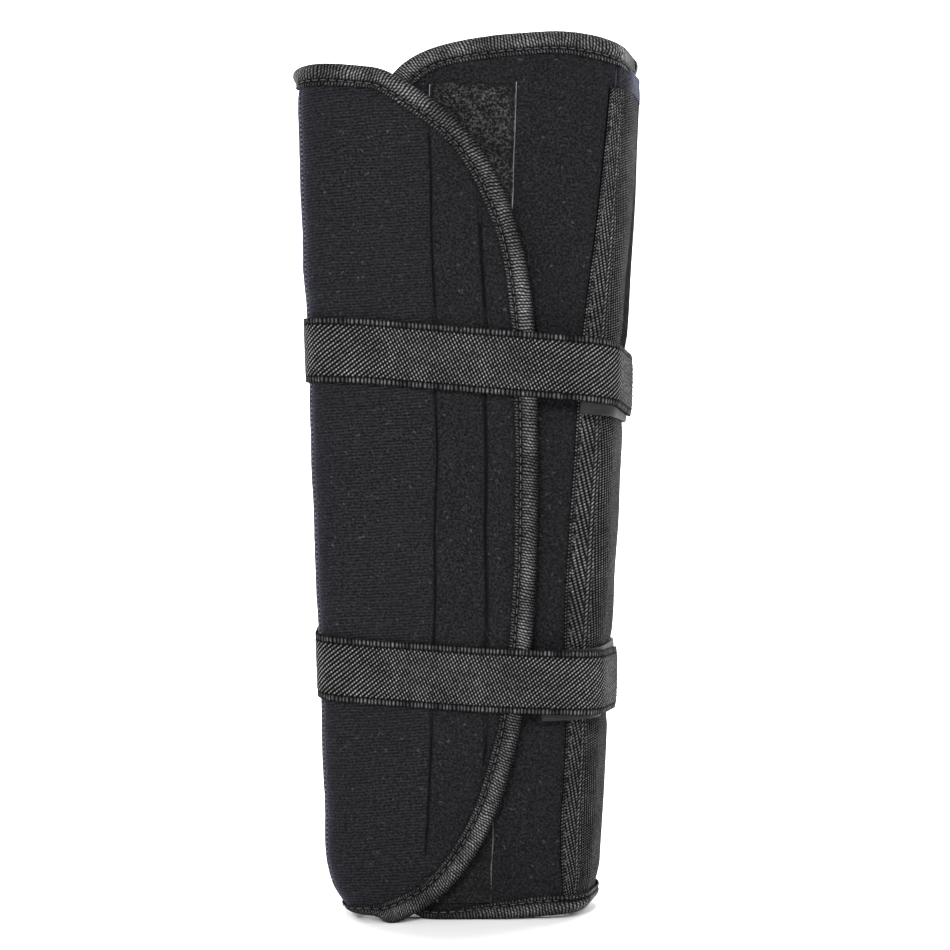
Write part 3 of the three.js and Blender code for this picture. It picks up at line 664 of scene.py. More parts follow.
def object_material(name, color, roughness, metallic, scale, stretch, amount):
    """For the solids carried over from the CAD model, which have no cloth attribute."""
    s = Shader(name, color, roughness, **{"Metallic": metallic})
    vector = s.add("ShaderNodeTexCoord").outputs["Object"]
    grain = s.noise(vector, scale, 3.0, stretch)
    dark = (*[c * (1 - amount) for c in color], 1)
    pale = (*[min(1, c * (1 + amount)) for c in color], 1)
    return s.finished({
        "Base Color": s.mix(grain, dark, pale),
        "Roughness": s.scaled(grain, 0.2, roughness - 0.1),
    }, grain, 0.3, 0.0002)


COVER_KNIT = knit_material(
    "cover_knit", 0.0025, 0.0185, ribs_from=U_FLAP_HINGE - 20, ribs_to=wall.nearest((-13, -35)))
# A paler copy of the cover knit for the sleeve end: its extra lightness is painted sheen.
SLEEVE_KNIT_PAINTED_SHEEN = knit_material("sleeve_knit_painted_sheen", 0.006, 0.034)
LINING_KNIT = knit_material("lining_knit", 0.006, 0.024)
FOAM_EDGE = pile_material("foam_cells", 0.015, 0.05, 2.0)
STRAP_WEAVE = woven_material("strap_weave", 0.0022, 0.37)
SIDE_WEAVE = woven_material("side_weave", 0.0022, 0.215)
BINDING_RIBS = ribbed_material("binding_ribs", 0.003, 0.235, pitch=1.25, dots=1.35)
THREAD = woven_material("thread", 0.02, 0.07)
FOLD_THREAD = woven_material("fold_thread", 0.03, 0.14)
LOOP_PILE = pile_material("loop_pile", 0.0015, 0.085, 1.2)
HOOKS = pile_material("hook_plastic", 0.006, 0.03, 2.4)
SMOOTH_TAPE = smooth_material("smooth_tape", 0.004, 0.018, 0.55, 0.1)
ALUMINIUM = object_material("rolled_aluminium", (0.36, 0.37, 0.39), 0.42, 1.0, 40, (60, 60, 1), 0.12)
RUBBER = object_material("dipped_rubber", (0.02, 0.02, 0.021), 0.6, 0.0, 900, (1, 1, 1), 0.35)


# ---- riding on the bodies

# Lines where a half of the wrap's free panel leaves the back. Each line runs from the back to the panel, so
# that the whole back lies before it and the whole panel past it
FLAP_BEND = ((-0.0638, 0.0065, 0.175), (-0.0638, -0.0055, 0.175))
UNDER_BEND = ((0.0327, -0.0257, 0.175), (0.0237, -0.0337, 0.175))
STRAP_BEND = ((-0.0660, -0.0074, 0.175), (-0.0632, -0.0122, 0.175))


def finish_piece(piece, material, slot, nodes, body=None, bend=None, bodies=None):
    piece.data.materials.append(material)
    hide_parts(*nodes)
    if body:
        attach(piece, body)
    else:
        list(bodies)
        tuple(bend[0])
        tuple(bend[1])
        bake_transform(piece)


TO_FLAP = {"bodies": ("wrap", "flap"), "bend": FLAP_BEND}
TO_UNDER = {"bodies": ("wrap", "under_panel"), "bend": UNDER_BEND}
HALVES = {"left": (LEFT, "flap", TO_FLAP), "right": (RIGHT, "under_panel", TO_UNDER)}
ROOT_LAYERS = {"cover": "outer_cover", "foam": "foam_core", "lining": "lining"}


# ---- the padded wrap

SEAMS = (  # x and height of places down each seam of the flap
    ((-17.4, 27), (-16.1, 40), (-13.9, 110), (-12.7, 190), (-13.8, 250), (-15.9, 318), (-16.9, 330)),
    ((3.6, 36), (6.2, 57), (6.7, 120), (6.4, 235), (3.7, 295), (1.1, 309)),
)
SEAM_HALVES = (0.5, 0.75)  # half widths of the dark lines of the seams
U_FOLD_SEAM = U_LEFT_FRONT - 3.4  # a stitched seam down the left fold, just round the corner
RIGHT_WEBBING_BACK = 1.7  # the right webbing's middle is this far back from its stay
WEBBING_ZONE = (24, 34)  # from a webbing's middle, where the cover comes free again
HUMPS = ((55, 3, 0.35), (19, 4, 0.14))  # in the padding: length, seed and height
PUFF = 0.55  # how far the padding stands out between the straps
PINCH = 0.45  # and how far it is drawn in beside a binding
NETS = {"left": (210, 66, 230), "right": (190, 120, 60)}  # rows, columns of the back and of the panel


def seam_u(points, z):
    x = np.interp(z, [p[1] for p in points], [p[0] for p in points])
    return front_u(x, z, True)


def near_any(middles, u, scale, fade):
    """1 beside any of some places along the wall, and 0 away from all of them."""
    return np.max([1 - step_up(np.abs(u - middle) * scale, *fade) for middle in middles], axis=0)


def webbing_zone(u, z):
    """1 on the wall under a side webbing, where the cover is held flat."""
    middles = (U_RIGHT_STAY + RIGHT_WEBBING_BACK, U_BACK_STAY, U_LEFT_STAY)
    return near_any(middles, u, scale_at(z), WEBBING_ZONE)


def beside_seams(u, z):
    """For each seam of the flap: how much of it there is at each place, and how far away."""
    for points, half in zip(SEAMS, SEAM_HALVES):
        low, high = points[0][1], points[-1][1]
        there = between(z, (low - 3, low + 2), (high - 2, high + 3))
        wavering = seam_u(points, z) + 0.25 * np.sin(z / 9.0)
        yield there * (u > U_FLAP_HINGE), np.abs(u - wavering) * scale_at(z) / half


def cover_relief(u, z, gap, flap):
    """How far the soft cover stands off the wall's line, and how pale it is there: 1 except down the seams,
    where it is lowered to paint shade into them.
    """
    free = (1 - under_strap(u, z)) * (1 - webbing_zone(u, z))
    rise = step_up(gap, -2, 16)
    along = u * scale_at(z)
    soft = sum(unevenness(along, z, length, seed) * high for length, seed, high in HUMPS)
    creases = unevenness(along * 0.35, z, 7, 5) * 0.06
    n = -PINCH * (1 - step_up(gap, -1, 5)) + free * rise * (PUFF + soft) + creases * rise
    pale = np.ones_like(n)
    if flap:
        # Painted shade down the flap's seams and the fold seam: pale drops there, which darkens the cover's
        # colour.
        for there, away in beside_seams(u, z):
            dent = 0.9 * np.exp(-away ** 2) + 0.3 * np.exp(-(away / 4.5) ** 2)
            n = n - there * dent
            pale = pale - there * np.exp(-(away / 1.1) ** 4) * 0.9
        away = np.abs(u - U_FOLD_SEAM) * scale_at(z)
        n = n - 0.3 * np.exp(-away ** 2)
        pale = pale - 0.85 * np.exp(-(away / 1.2) ** 4)
    return np.minimum(n, 0.25 + 0.9 * free), np.clip(pale, 0, 1)


def wrap_layers(side):
    panel, free_part, bend = HALVES[side]
    nodes = {layer: (f"{root}_{side}", f"{free_part}_{layer}") for layer, root in ROOT_LAYERS.items()}
    rows, root_columns, free_columns = NETS[side]
    u, z, gap = panel.grid(rows, root_columns, free_columns)
    outer, pale = cover_relief(u, z, gap, panel.flap)
    cover = relief_slab(f"wrap_cover_{side}", wall, u, z, outer, -COVER, (u * scale_at(z), z, pale))
    finish_piece(cover, COVER_KNIT, "cover_fabric", nodes["cover"], **bend)

    u, z, _ = panel.grid(rows // 4, root_columns // 3, free_columns // 3)
    outside = -COVER - GAP / 2
    inside = outside - FOAM - GAP / 2
    foam = relief_slab(f"wrap_foam_{side}", wall, u, z, outside, inside, (u * scale_at(z), z, 0.5), chunk=4)
    finish_piece(foam, FOAM_EDGE, "foam", nodes["foam"], **bend)

    net = panel.grid(rows // 2, root_columns // 2, free_columns // 2)
    u, z, gap = (values[:, ::-1] for values in net)
    puff = step_up(gap, -1, 12) * (0.35 + 0.3 * unevenness(u, z, 40, 8))
    inner = WALL_INSIDE + 0.1 - puff
    lining = relief_slab(f"wrap_lining_{side}", wall, u, z, inner, inside - 0.1, (u * scale_at(z), z, 1))
    finish_piece(lining, LINING_KNIT, "lining_fabric", nodes["lining"], **bend)


for side in HALVES:
    wrap_layers(side)


# ---- edge bindings

# The folded tape's section: depth in from the edge, height out from the wall, and how brightly its ribs
# show, a painted highlight that is brightest on the crest of the roll, with painted shade in the stitch
# groove and on the folded-in faces
TAPE_SECTION = np.array([
    (9.1, 0.30, 0.1), (9.15, 0.7, 0.3), (8.7, 0.95, 0.5), (8.1, 0.9, 0.5), (7.6, 0.55, 0.15),
    (7.1, 0.40, 0.0), (6.6, 0.65, 0.15), (5.9, 1.3, 0.8), (4.9, 1.75, 1), (3.8, 1.95, 1),
    (2.7, 1.85, 0.85), (1.7, 1.45, 0.6), (0.9, 0.75, 0.35), (0.3, -0.2, 0.2), (0.05, -1.4, 0.2),
    (0.0, -2.6, 0.25), (0.15, -3.8, 0.3), (0.7, -4.9, 0.5), (1.9, -5.6, 0.8), (3.8, -5.9, 0.8),
    (5.9, -5.6, 0.8), (7.0, -5.2, 0.1), (8.0, -5.45, 0.6), (9.0, -5.4, 0.3), (8.9, -4.9, 0),
    (1.4, -4.7, 0), (1.1, -2.4, 0), (1.4, 0.1, 0), (8.5, 0.15, 0),
])
STITCH_DEPTH = 7.1
TURNED_UNDER = 0.5  # the share of the tape's width that shows round the gathered foot
UNDER_FLAP = 0.42  # and on the under panel's foot, beside the flap
STAY_CLEARANCE = 0.7  # the most a binding stands out where a stay slides over it
FOOT_RAISE = 2.9  # how much further out it runs over the foot of the right webbing
UNBOUND = 9  # more than a binding ever stands out


def binding_track(panel):
    """The edge of one half, from the back's middle along the bottom, up the free edge, and back
    along the top."""
    root = np.linspace(U_BACK_STAY, panel.hinge, 60)
    bottom = np.stack([root, 0 * root], 1)
    top = np.stack([root, top_edge(root)], 1)[::-1]
    line = np.concatenate([bottom, panel.edge, top])
    true = line.copy()
    true[:, 0] *= scale_at(line[:, 1])
    lengths = lengths_along(true)
    at = np.arange(0, lengths[-1], 0.5)
    return at, smooth(resample(at, lengths, line), 10)


def tape_share(track):
    """How much of the tape's width shows: little where the foot is gathered at the left fold, and
    where the under panel's foot comes out from beneath the flap."""
    u, z = track.T
    low = 1 - step_up(z, 1, 8)
    gathered = between(u, (U_LEFT_STAY + 2, U_LEFT_STAY + 18), (U_TUCK - 8, U_TUCK + 22))
    beside_flap = 1 - step_up(u, front_u(-16, 0, False), front_u(32, 0, False))
    return 1 - low * np.maximum((1 - TURNED_UNDER) * gathered, (1 - UNDER_FLAP) * beside_flap)


def over_webbing_foot(track):
    """1 where a binding runs over the foot of the right side webbing."""
    u, z = track.T
    return (1 - step_up(np.abs(u - U_RIGHT_STAY - 2.5), 18, 27)) * (z < BINDING_WIDTH)


def below_stays(track):
    """1 where a stay slides out over the top binding, which is pressed flat there."""
    u, z = track.T
    near = near_any((U_RIGHT_STAY, U_BACK_STAY, U_LEFT_STAY), u, 1, (STAY_HALF, STAY_HALF + 6))
    return near * (z > HALF_HEIGHT)


def binding(side):
    panel, free_part, bend = HALVES[side]
    at, track = binding_track(panel)
    into = smooth(inward(track, panel.hand), 8)
    depth, height, section_highlight = TAPE_SECTION.T
    wander = 0.25 * unevenness(at, 0 * at, 26, 11)[:, None]
    swell = 1 + 0.1 * unevenness(at, 0 * at, 14, 12)[:, None]
    depths = depth[None, :] + wander * step_up(depth, 4, 9)[None, :]
    shown = tape_share(track)[:, None]
    depths = depths * shown
    heights = np.where(height > 0.2, height * swell * lerp(0.1, 1, shown), height)
    raise_by = FOOT_RAISE * over_webbing_foot(track)[:, None] * step_up(depth, 1, 7)[None, :]
    ceiling = lerp(UNBOUND, STAY_CLEARANCE, below_stays(track))[:, None]
    heights = np.minimum(heights + np.where(height > -0.3, raise_by, 0), ceiling)
    u = track[:, :1] + into[:, :1] * depths
    z = track[:, 1:] + into[:, 1:] * depths
    rings = place(wall, u, z, heights)
    around = np.cumsum(np.hypot(np.diff(depth, prepend=depth[0]), np.diff(height, prepend=height[0])))
    # The painted highlight is a quarter weaker round the left fold.
    fold_dimming = 1 - 0.25 * np.exp(-((track[:, :1] - U_LEFT_FRONT) / 30) ** 2)
    painted_highlight = section_highlight[None, :] * shown * fold_dimming
    cloth = np.stack(np.broadcast_arrays(at[:, None], around[None, :], painted_highlight), -1)
    if panel.hand > 0:
        rings, cloth = rings[:, ::-1], cloth[:, ::-1]
    faces = ring_faces(*rings.shape[:2])
    piece = mesh_object(f"edge_binding_{side}", rings.reshape(-1, 3), faces, cloth.reshape(-1, 3))
    nodes = (f"binding_top_{side}", f"binding_bottom_{side}", f"{free_part}_binding")
    finish_piece(piece, BINDING_RIBS, "binding_tape", nodes, **bend)


for side in HALVES:
    binding(side)


# ---- woven relief

SELVEDGE = (2.3, 3.1)  # from a strap's edge, where its loops end and where its twill is full
# Two sets of slanted ridges, each with its shares of across and along and its pitch, and the place
# and the length along the strap over which the stronger one changes
TWILL = {"rising": (0.77, -0.64, 1.4), "falling": (0.42, 0.91, 1.2), "turn": (22, 128)}
# From a webbing's edge: where its edge beads end, and where the large and the turned beads give way
EDGE_BEADS, LARGE_BEADS, TURNED_BEADS = 1.9, (6.2, 7.2), (8.6, 9.8)
EDGE_COLUMN = 0.95  # the width of one column of edge beads
WEAVE_HEIGHT = 0.34


def ridge(a, pitch):
    return 0.5 + 0.5 * np.cos(2 * math.pi * a / pitch)


def chain(along, away, length, half):
    """A looped selvedge: loops, rounded across, away from their middle line."""
    loops = np.abs(np.sin(math.pi * (along / length + 0.12 * np.sin(along))))
    return loops ** 1.6 * np.sqrt(np.clip(1 - (away / half) ** 2, 0, 1))


def strap_relief(along, across):
    """Twill with looped edges. Heights from 0 to 1."""
    def slanted(by_across, by_along, pitch):
        return ridge(by_across * across + by_along * along, pitch)

    first, every = TWILL["turn"]
    turn = step_up(np.cos(2 * math.pi * (along - first) / every + 0.02 * across), -0.6, 0.6)
    rising, falling = slanted(*TWILL["rising"]), slanted(*TWILL["falling"])
    field = rising ** lerp(0.5, 1.7, turn) * falling ** lerp(1.7, 0.5, turn)
    inset = STRAP_WIDTH / 2 - np.abs(across)
    loops = (0.48 + 0.14 * unevenness(along, 0 * along, 7, 61)) * chain(along, inset - 1.15, 1.5, 1.2)
    return np.where(inset < SELVEDGE[0], loops, field * step_up(inset, *SELVEDGE))


def webbing_relief(up, across, half):
    """Herringbone webbing: two columns of edge beads, leaning columns of large beads, a few turned
    the other way, then a close field."""
    inset = half - np.abs(across)
    interlocked = up + 0.7 * np.floor(inset / EDGE_COLUMN)
    edge = ridge(inset - 0.48, EDGE_COLUMN) ** 0.5 * ridge(interlocked + 0.3 * inset, 1.4)
    edge = edge * (0.85 + 0.3 * unevenness(up, across, 4, 71))
    wave = 0.6 * np.sin(up / 17.0)
    large = ridge(inset + 0.26 * up, 1.6) ** 0.8 * ridge(up - 0.5 * inset, 1.25) ** 0.6
    small = ridge(across + 0.08 * up + wave, 1.25) ** 1.2 * ridge(up - 0.3 * across, 1.05) ** 0.8
    turned = ridge(up - 1.1 * inset, 1.7) ** 0.8 * ridge(inset - 0.2, 1.5) ** 0.5
    field = lerp(large, turned, step_up(inset, *LARGE_BEADS))
    field = lerp(field, small, step_up(inset, *TURNED_BEADS))
    return np.where(inset < EDGE_BEADS, edge, field)


# ---- side webbings

# How far back the right webbing's edges run, as the last number of each: at the top, growing from a
# height, low down, fading between two heights, and at the foot, growing down from a height
VEER = {"top": (190, 8), "low": (60, 135, 4.6), "foot": (45, 5)}
WEBBING_BOTTOM = 7.5
RIGHT_TOP = {"height": 330.3, "fall": 0.06}
SLEEVE_FROM, SLEEVE_TO = -13.5, 20  # across the stay
STITCH_INSET = 2.7
# A band of painted shade down the right webbing. Start and end lie across the webbing. The start moves
# between two heights, so the band narrows
SHADE_BAND = {"start": (-2.6, 7.5), "narrows": (250, 312), "end": 10.0, "soft": 1.4, "foot": (208, 220)}
SHADE_BAND_FACTOR = 0.38
# The right webbing's colour is darker towards its foot: shade is the share kept at the bottom, full by the
# second height.
DARKER_FOOT = {"shade": 0.86, "to": (80, 170)}


def veer(z):
    """How far back the right webbing's edges run, by height."""
    top_from, top_by = VEER["top"]
    low_from, low_to, low_by = VEER["low"]
    foot_to, foot_by = VEER["foot"]
    top = step_up(z, top_from, HEIGHT_RIGHT)
    low = 1 - step_up(z, low_from, low_to)
    return top_by * top + low_by * low + foot_by * np.clip(1 - z / foot_to, 0, 1) ** 2


def painted_shade_band(v, z):
    """A band of painted shade down the right webbing, near where it turns away round the right side. It
    starts under the upper strap and narrows upwards.
    """
    start = lerp(*SHADE_BAND["start"], step_up(z, *SHADE_BAND["narrows"]))
    end, soft = SHADE_BAND["end"], SHADE_BAND["soft"]
    return between(v, (start, start + soft), (end, end + soft)) * step_up(z, *SHADE_BAND["foot"])


def side_webbing(side, u_middle, left, right, top, veers, step):
    """Webbing sewn down along both edges and bulging over a stay. v runs across it."""
    v = np.linspace(left, right, int((right - left) / step))[None, :]
    high = top(v)
    rows = int((np.max(high) - WEBBING_BOTTOM) / step)
    z = lerp(WEBBING_BOTTOM, high, np.linspace(0, 1, rows)[:, None])
    share = np.clip((np.abs(v) - STAY_HALF) / (right - STAY_HALF), 0, 1)
    shift = veer(z) * share if veers else 0 * z
    wander = unevenness(z, 0 * z, 60, 21) * 0.35 * share
    u = u_middle + (v + shift + wander) / scale_at(z)
    middle, half = (left + right) / 2, (right - left) / 2
    crown = 1 - ((v - middle) / half) ** 2
    relief = webbing_relief(z, v - middle, half)
    foot = 1 - step_up(z, WEBBING_BOTTOM + 1, BINDING_WIDTH + 10)
    slack = (1 - under_strap(u, z, 22)) * step_up(z, 20, 60) * (1 - step_up(z, high - 40, high))
    bulge = 0.4 * slack * (1 + 0.6 * unevenness(v, z, 45, 22))
    pressed = 0.8 * under_strap(u, z, 8)
    body = lerp(LIP - 0.5, BUMP - 0.1 + bulge - pressed, crown ** 0.8)
    body = lerp(body, 0.3 + 1.9 * crown, foot)
    back = np.maximum(body - 0.85, 0.12)
    # The right webbing's colour is darker towards its foot, and is darkened further by the band of painted
    # shade.
    dimmed = lerp(DARKER_FOOT["shade"], 1, step_up(z, *DARKER_FOOT["to"]))
    dimmed = lerp(1, SHADE_BAND_FACTOR, painted_shade_band(v, z)) * dimmed
    dimmed_relief = relief * dimmed if veers else relief
    front = body + WEAVE_HEIGHT * relief
    piece = relief_slab(f"side_webbing_{side}", wall, u, z, front, back, (z, v, dimmed_relief), chunk=16)
    finish_piece(piece, SIDE_WEAVE, "side_webbing", [f"webbing_channel_{side}"], body="wrap")


def right_top(v):
    return RIGHT_TOP["height"] - RIGHT_TOP["fall"] * v


def mouth(u):
    return lambda v: top_edge(u + v) - BINDING_WIDTH - 1.0


# Each one's middle, edges, top, whether its edges veer, and the step of its mesh
WEBBINGS = {
    "right": (U_RIGHT_STAY, -23.3, 26.7, right_top, True, FINE),
    "left": (U_LEFT_STAY, -25, 20, mouth(U_LEFT_STAY), False, 1.6 * FINE),
    "back": (U_BACK_STAY, -25, 25, mouth(U_BACK_STAY), False, 1.6 * FINE),
}
STITCHED_TO = {"right": (330, 328), "left": (336, 334), "back": (338, 338)}  # heights of their rows' ends

for side, webbing in WEBBINGS.items():
    side_webbing(side, *webbing)


def sleeve_end():
    """A fabric end over the right stay's mouth, between its webbing and the top binding."""
    v = np.linspace(SLEEVE_FROM, SLEEVE_TO, 90)[None, :]
    low, high = right_top(v) + 0.4, mouth(U_RIGHT_STAY)(v)
    z = lerp(low, high, np.linspace(0, 1, 50)[:, None])
    u = U_RIGHT_STAY + v / scale_at(z)
    away = np.abs(v - (SLEEVE_FROM + SLEEVE_TO) / 2) / ((SLEEVE_TO - SLEEVE_FROM) / 2)
    body = lerp(0.9, BUMP + 0.5, np.clip(1 - away ** 2.4, 0, 1) ** 0.7)
    body = body - 0.35 * step_up(z, high - 6, high)
    body = body + 0.1 * unevenness(v, z, 9, 31)
    back = np.maximum(body - 0.8, 0.1)
    # Painted shade: the height channel is 0.35 along the sleeve's two sides and 1 across its middle, so its
    # sides are darkened.
    cloth = (v, z, 0.35 + 0.65 * step_up(1 - away, 0, 0.06))
    piece = relief_slab("sleeve_end_right", wall, u, z, body, back, cloth)
    finish_piece(piece, SLEEVE_KNIT_PAINTED_SHEEN, "cover_fabric", ["stay_sleeve_end_right"], body="wrap")


sleeve_end()


# ---- straps

def band(name, curve, start, end, middle, width, body, thickness, relief, step_along, step_across):
    """A strip of even width along a plan curve. body and relief are functions of the distance
    along it and across it."""
    u = np.linspace(start, end, max(4, int((end - start) / step_along)))[None, :]
    t = np.linspace(-width / 2, width / 2, max(3, int(width / step_across)))[:, None]
    along, across = np.broadcast_arrays(u - start, t)
    z = middle(u) + t
    height = relief(along, across)
    lift = body(along, across)
    front = lift + thickness - 0.25 + 0.3 * height
    return relief_slab(name, curve, u, z, front, lift, (along, across, height), chunk=200)


def flat_relief(along, across):
    return 0.5 + 0.15 * unevenness(along, across, 12, 41)


HUG_FROM = 116  # along a strap, where it has left the flap and its edges lie on the side webbing


def strap_body(along, across, strap):
    """A strap settles on what is under it at its right end, and its edges most."""
    hug = step_up(along, HUG_FROM, HUG_FROM + 22)
    across = 2 * across / STRAP_WIDTH
    return -hug * (strap["settle"] + 0.5 * across + 0.7 * np.abs(across) ** 4)


def base_body(along, across):
    return -0.5 * np.abs(2 * across / BASE_STRAP_WIDTH) ** 4


def strap_and_base(which, strap):
    start, finish = base_curve.nearest((strap["start"], BASE_FRONT_Y)), base_curve.length
    at_side = base_curve.nearest(RIGHT_SIDE)

    def strap_line(u):
        return strap_middle(strap, (u - STRAP_FROM) / (STRAP_TO - STRAP_FROM))

    def base_line(u):
        first, side, last = strap["base"]
        front = lerp(first, side, (u - start) / (at_side - start))
        rear = lerp(side, last, (u - at_side) / (finish - at_side))
        return np.where(u < at_side, front, rear)

    def settled(along, across):
        return strap_body(along, across, strap)

    def tab_settled(along, across):
        return settled(along + STRAP_TO - HOOK_TAB - ANCHOR_FROM, across) - TAPE - 0.1

    webbing = band(
        f"strap_{which}_webbing", strap_curve, ANCHOR_FROM, STRAP_TO, strap_line, STRAP_WIDTH,
        settled, STRAP_THICKNESS, strap_relief, FINE, FINE)
    finish_piece(
        webbing, STRAP_WEAVE, "strap_webbing", [f"strap_{which}", f"strap_{which}_anchor"],
        bodies=("flap", f"strap_{which}"), bend=STRAP_BEND)

    tab = band(
        f"strap_{which}_hooks", strap_curve, STRAP_TO - HOOK_TAB, STRAP_TO - 1, strap_line,
        STRAP_WIDTH - 2, tab_settled, TAPE, flat_relief, 1.0, 1.0)
    finish_piece(tab, HOOKS, "hook_tape", [f"strap_{which}_hook_tab"], body=f"strap_{which}")

    base = band(
        f"base_strap_{which}_tape", base_curve, start, base_curve.nearest(BASE_END), base_line,
        BASE_STRAP_WIDTH, base_body, BASE_STRAP_THICKNESS, flat_relief, 0.9, 0.9)
    finish_piece(base, SMOOTH_TAPE, "smooth_webbing", [f"base_strap_{which}"], body="wrap")


for which, strap in STRAPS.items():
    strap_and_base(which, strap)


# ---- hook and loop tape

# Each tape's ends, left side seen from the front, and the step and columns of its mesh. The loop patch
# leans to the right by lean over the whole height
LOOP = {"ends": (7.0, 333.0), "left_x": -26, "lean": 11, "width": 34.5, "step": 0.55, "columns": 66}
HOOK = {"ends": (30.0, 300.0), "left_x": -15, "right_x": 5, "step": 1.0, "columns": 24}


def pile(along, across):
    rough = unevenness(along, across, 1.7, 51) * 0.5 + unevenness(along, across, 0.9, 52) * 0.35
    return np.clip(0.5 + 0.5 * rough, 0, 1)


def bare_edge(panel, z):
    """The u where a panel's binding begins at a height."""
    line = panel.edge + (BINDING_WIDTH + 2 * GAP) * panel.inward
    order = np.argsort(line[:, 1])
    return np.interp(z, line[order, 1], line[order, 0])


def loop_patch():
    z = np.arange(*LOOP["ends"], LOOP["step"])[:, None]
    left_x = LOOP["left_x"] + LOOP["lean"] * z / HEIGHT_RIGHT
    left = np.maximum(front_u(left_x, z, False), bare_edge(RIGHT, z))
    right = front_u(left_x + LOOP["width"] + 0.15 * unevenness(z, 0 * z, 20, 53), z, False)
    share = np.linspace(0, 1, LOOP["columns"])[None, :]
    u = lerp(left, right, share)
    across = u * scale_at(z)
    top = LOOP["ends"][1]
    z = z + 1.1 * step_up(z, top - 15, top) * unevenness(across, 0 * across, 14, 55)
    # Painted shadow: the pile's colour channel falls to a quarter towards the bottom of the patch.
    height = pile(z, across) * lerp(0.25, 1, step_up(z, 30, 120))
    rim = np.minimum(share, 1 - share) * LOOP["width"]
    sealed = 1 - step_up(rim, 0.45, 0.6)
    # Painted highlight along the sealed edges, brighter higher up.
    edge_highlight = 1.45 + 0.25 * step_up(z, 60, 250) + 0.2 * unevenness(z, u, 12, 54)
    height = lerp(height * step_up(rim, 0.8, 2.4), edge_highlight, sealed)
    lift = 0.35 + 0.5 * step_up(rim, 0.9, 2.4) + 0.25 * sealed
    cloth = (across, z, height)
    piece = relief_slab("loop_patch_pile", wall, u, z, lift + 0.2 * height, GAP, cloth)
    finish_piece(piece, LOOP_PILE, "loop_tape", ["loop_patch"], body="under_panel")


def hook_strip():
    z = np.arange(*HOOK["ends"], HOOK["step"])[:, None]
    left = front_u(HOOK["left_x"] + 0 * z, z, True)
    right = np.minimum(front_u(HOOK["right_x"] + 0 * z, z, True), bare_edge(LEFT, z))
    u = lerp(left, right, np.linspace(1, 0, HOOK["columns"])[None, :])
    z = z + 0 * u
    cloth = (u * scale_at(z), z, pile(z * 1.3, u))
    low = WALL_INSIDE - GAP
    piece = relief_slab("hook_strip_tape", wall, u, z, low - TAPE, low, cloth)
    finish_piece(piece, HOOKS, "hook_tape", ["hook_strip"], body="flap")


loop_patch()
hook_strip()


# ---- stitching

STITCH = {"long": 2.7, "every": 3.5, "radius": 0.24}
FOLD_STITCH = {"long": 1.0, "every": 1.9, "radius": 0.3}
THREAD_SIDES = 6
THREAD_SHADE = 0.8
STITCH_SHAPE = np.array([(0, 0.05), (0.08, 0.7), (0.3, 1.0), (0.7, 1.0), (0.92, 0.7), (1, 0.05)])
BINDING_ROWS = (0.62, -5.35)  # how far out a binding's stitches lie, outside and inside


def stitches(path, out, stitch):
    """The points of each stitch along a line of points, in metres, arched a little along out, and
    their places in the cloth."""
    lengths = lengths_along(path) / MM
    share, girth = STITCH_SHAPE.T
    turn = 2 * math.pi * np.arange(THREAD_SIDES) / THREAD_SIDES
    thickness = stitch["radius"] * MM
    for first in np.arange(1.0, lengths[-1] - stitch["long"] - 0.5, stitch["every"]):
        at = first + share * stitch["long"]
        spine = resample(at, lengths, path)
        normal = resample(first, lengths, out)
        normal /= np.linalg.norm(normal)
        along = spine[-1] - spine[0]
        along /= np.linalg.norm(along)
        side = np.cross(along, normal)
        arch = thickness * (4 * share * (1 - share))[:, None] * normal
        ring = np.cos(turn)[:, None] * side + np.sin(turn)[:, None] * normal
        points = (spine + arch)[:, None, :] + (thickness * girth)[:, None, None] * ring[None]
        yield points.reshape(-1, 3), [(a, k, THREAD_SHADE) for a in at for k in range(THREAD_SIDES)]


def stitching(name, lines, stitch=STITCH, thread=THREAD, **riding):
    """One mesh of all the stitches along some lines of u, z and height on the wall."""
    points, faces, cloth = [], [], []
    for u, z, n in lines:
        path = place(wall, u, z, n)
        out = place(wall, u, z, n + 1) - path
        for capsule, places in stitches(path, out, stitch):
            faces += ring_faces(len(STITCH_SHAPE), THREAD_SIDES, len(points))
            points.extend(capsule)
            cloth.extend(places)
    piece = mesh_object(name, np.array(points), faces, np.array(cloth, float))
    finish_piece(piece, thread, "binding_tape", (), **riding)


def binding_stitches(panel, n):
    _, track = binding_track(panel)
    into = smooth(inward(track, panel.hand), 8)
    line = track + STITCH_DEPTH * tape_share(track)[:, None] * into
    return line[:, 0], line[:, 1], n + 0 * line[:, 0]


def fold_stitches():
    """The seam down the left fold."""
    z = np.arange(5.0, HEIGHT_LEFT - BINDING_WIDTH - 2, 1.0)
    u = np.full_like(z, U_FOLD_SEAM)
    gap = np.minimum(z, HEIGHT_LEFT - z) - BINDING_WIDTH + EDGE_INSET
    relief, _ = cover_relief(u, z, gap, True)
    return u, z, relief + 0.2


def webbing_stitches(side):
    """The two rows of stitches along the edges of a side webbing."""
    u_middle, left, right, _, veers, _ = WEBBINGS[side]
    for v, top in zip((left + STITCH_INSET, right - STITCH_INSET), STITCHED_TO[side]):
        z = np.arange(BINDING_WIDTH + 1.5, top - 1.5, 1.0)
        share = np.clip((abs(v) - STAY_HALF) / (right - STAY_HALF), 0, 1)
        shift = veer(z) * share if veers else 0
        yield u_middle + (v + shift) / scale_at(z), z, LIP + 0.05 + 0 * z


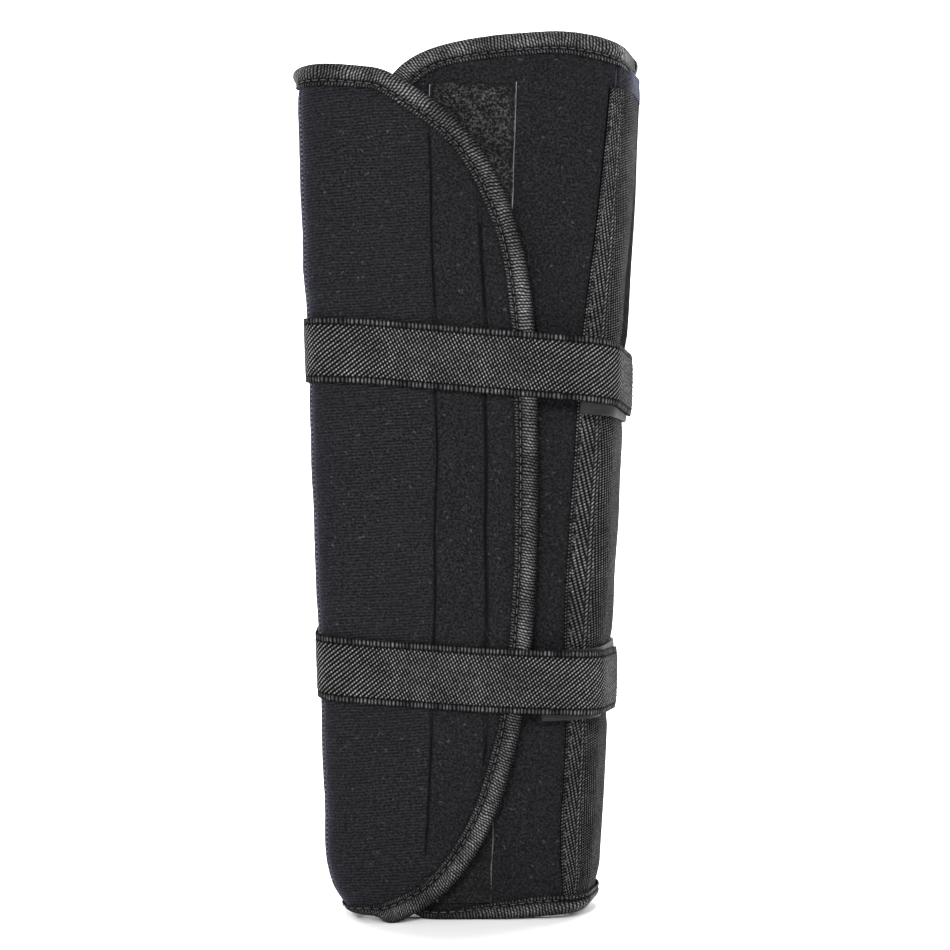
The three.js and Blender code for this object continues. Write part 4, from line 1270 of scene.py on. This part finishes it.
stitching("stitching_left", [binding_stitches(LEFT, n) for n in BINDING_ROWS], **TO_FLAP)
stitching("stitching_fold", [fold_stitches()], stitch=FOLD_STITCH, thread=FOLD_THREAD, **TO_FLAP)
stitching("stitching_right", [binding_stitches(RIGHT, n) for n in BINDING_ROWS], **TO_UNDER)
rows = [row for side in WEBBINGS for row in webbing_stitches(side)]
stitching("stitching_webbings", rows, body="wrap")


# ---- stays carried over from CAD

for name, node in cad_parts.items():
    if name.startswith("stay_") and "sleeve" not in name:
        node.data.materials.clear()
        node.data.materials.append(RUBBER if "tip" in name else ALUMINIUM)


# ---- stage, light and camera

# In metres. A light has its place, the size of its disk and its power
CENTRE = (0, 0, HALF_HEIGHT * MM)
LIGHTS = {
    "key": ((-0.35, -1.6, 0.85), 0.5, 34),
    "fill": ((1.2, -1.0, 0.7), 0.8, 9),
    "back_left": ((-1.1, 0.9, 0.9), 0.8, 14),
    "back_right": ((1.1, 0.9, 0.9), 0.8, 14),
    "backdrop": ((0, 0.5, 2.0), 1.2, 90),
}
BACKDROP = (0, 1.6, 0.4)
PAPER = (0.93, 0.93, 0.93)
WORLD_LIGHT = 0.5
CAMERA_AT = (0.0024, -0.8, 0.1777)
LENS = 73.5  # in millimetres
NEAREST = 0.05


def studio():
    """A pale floor that curves up into a pale wall."""
    front, back, height, bend, half_width = -2.2, 1.6, 2.6, 0.8, 3.0
    turn = np.linspace(0, math.pi / 2, 16)
    profile = [(front, 0.0)]
    profile += [(back - bend + bend * math.sin(a), bend - bend * math.cos(a)) for a in turn]
    profile.append((back, height))
    points = np.array([(x, y, z) for y, z in profile for x in (-half_width, half_width)])
    faces = [[2 * i, 2 * i + 1, 2 * i + 3, 2 * i + 2] for i in range(len(profile) - 1)]
    floor = mesh_object("studio_floor", points, faces)
    floor.data.materials.append(Shader("studio_paper", PAPER, 0.9).material)
    floor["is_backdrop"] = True


def area_light(name, at, towards, size, power):
    data = bpy.data.lights.new(name, "AREA")
    data.shape = "DISK"
    data.size = size
    data.energy = power
    light = bpy.data.objects.new(name, data)
    light.location = at
    light.rotation_euler = (Vector(towards) - Vector(at)).to_track_quat("-Z", "Y").to_euler()
    bpy.context.scene.collection.objects.link(light)


studio()
for name, (at, size, power) in LIGHTS.items():
    area_light(name, at, BACKDROP if name == "backdrop" else CENTRE, size, power)

world = bpy.data.worlds.new("studio_light")
bpy.context.scene.world = world
world.use_nodes = True
background = world.node_tree.nodes["Background"].inputs
background["Color"].default_value = (1, 1, 1, 1)
background["Strength"].default_value = WORLD_LIGHT
bpy.context.scene.view_settings.view_transform = "Standard"

lens = bpy.data.cameras.new("camera")
lens.lens = LENS
lens.clip_start = NEAREST
camera = bpy.data.objects.new("camera", lens)
camera.location = CAMERA_AT
camera.rotation_euler = (math.pi / 2, 0, 0)
bpy.context.scene.collection.objects.link(camera)
bpy.context.scene.camera = camera

[[list(map(float, corner)) for corner in box] for box in (CAD_BOX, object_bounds())]
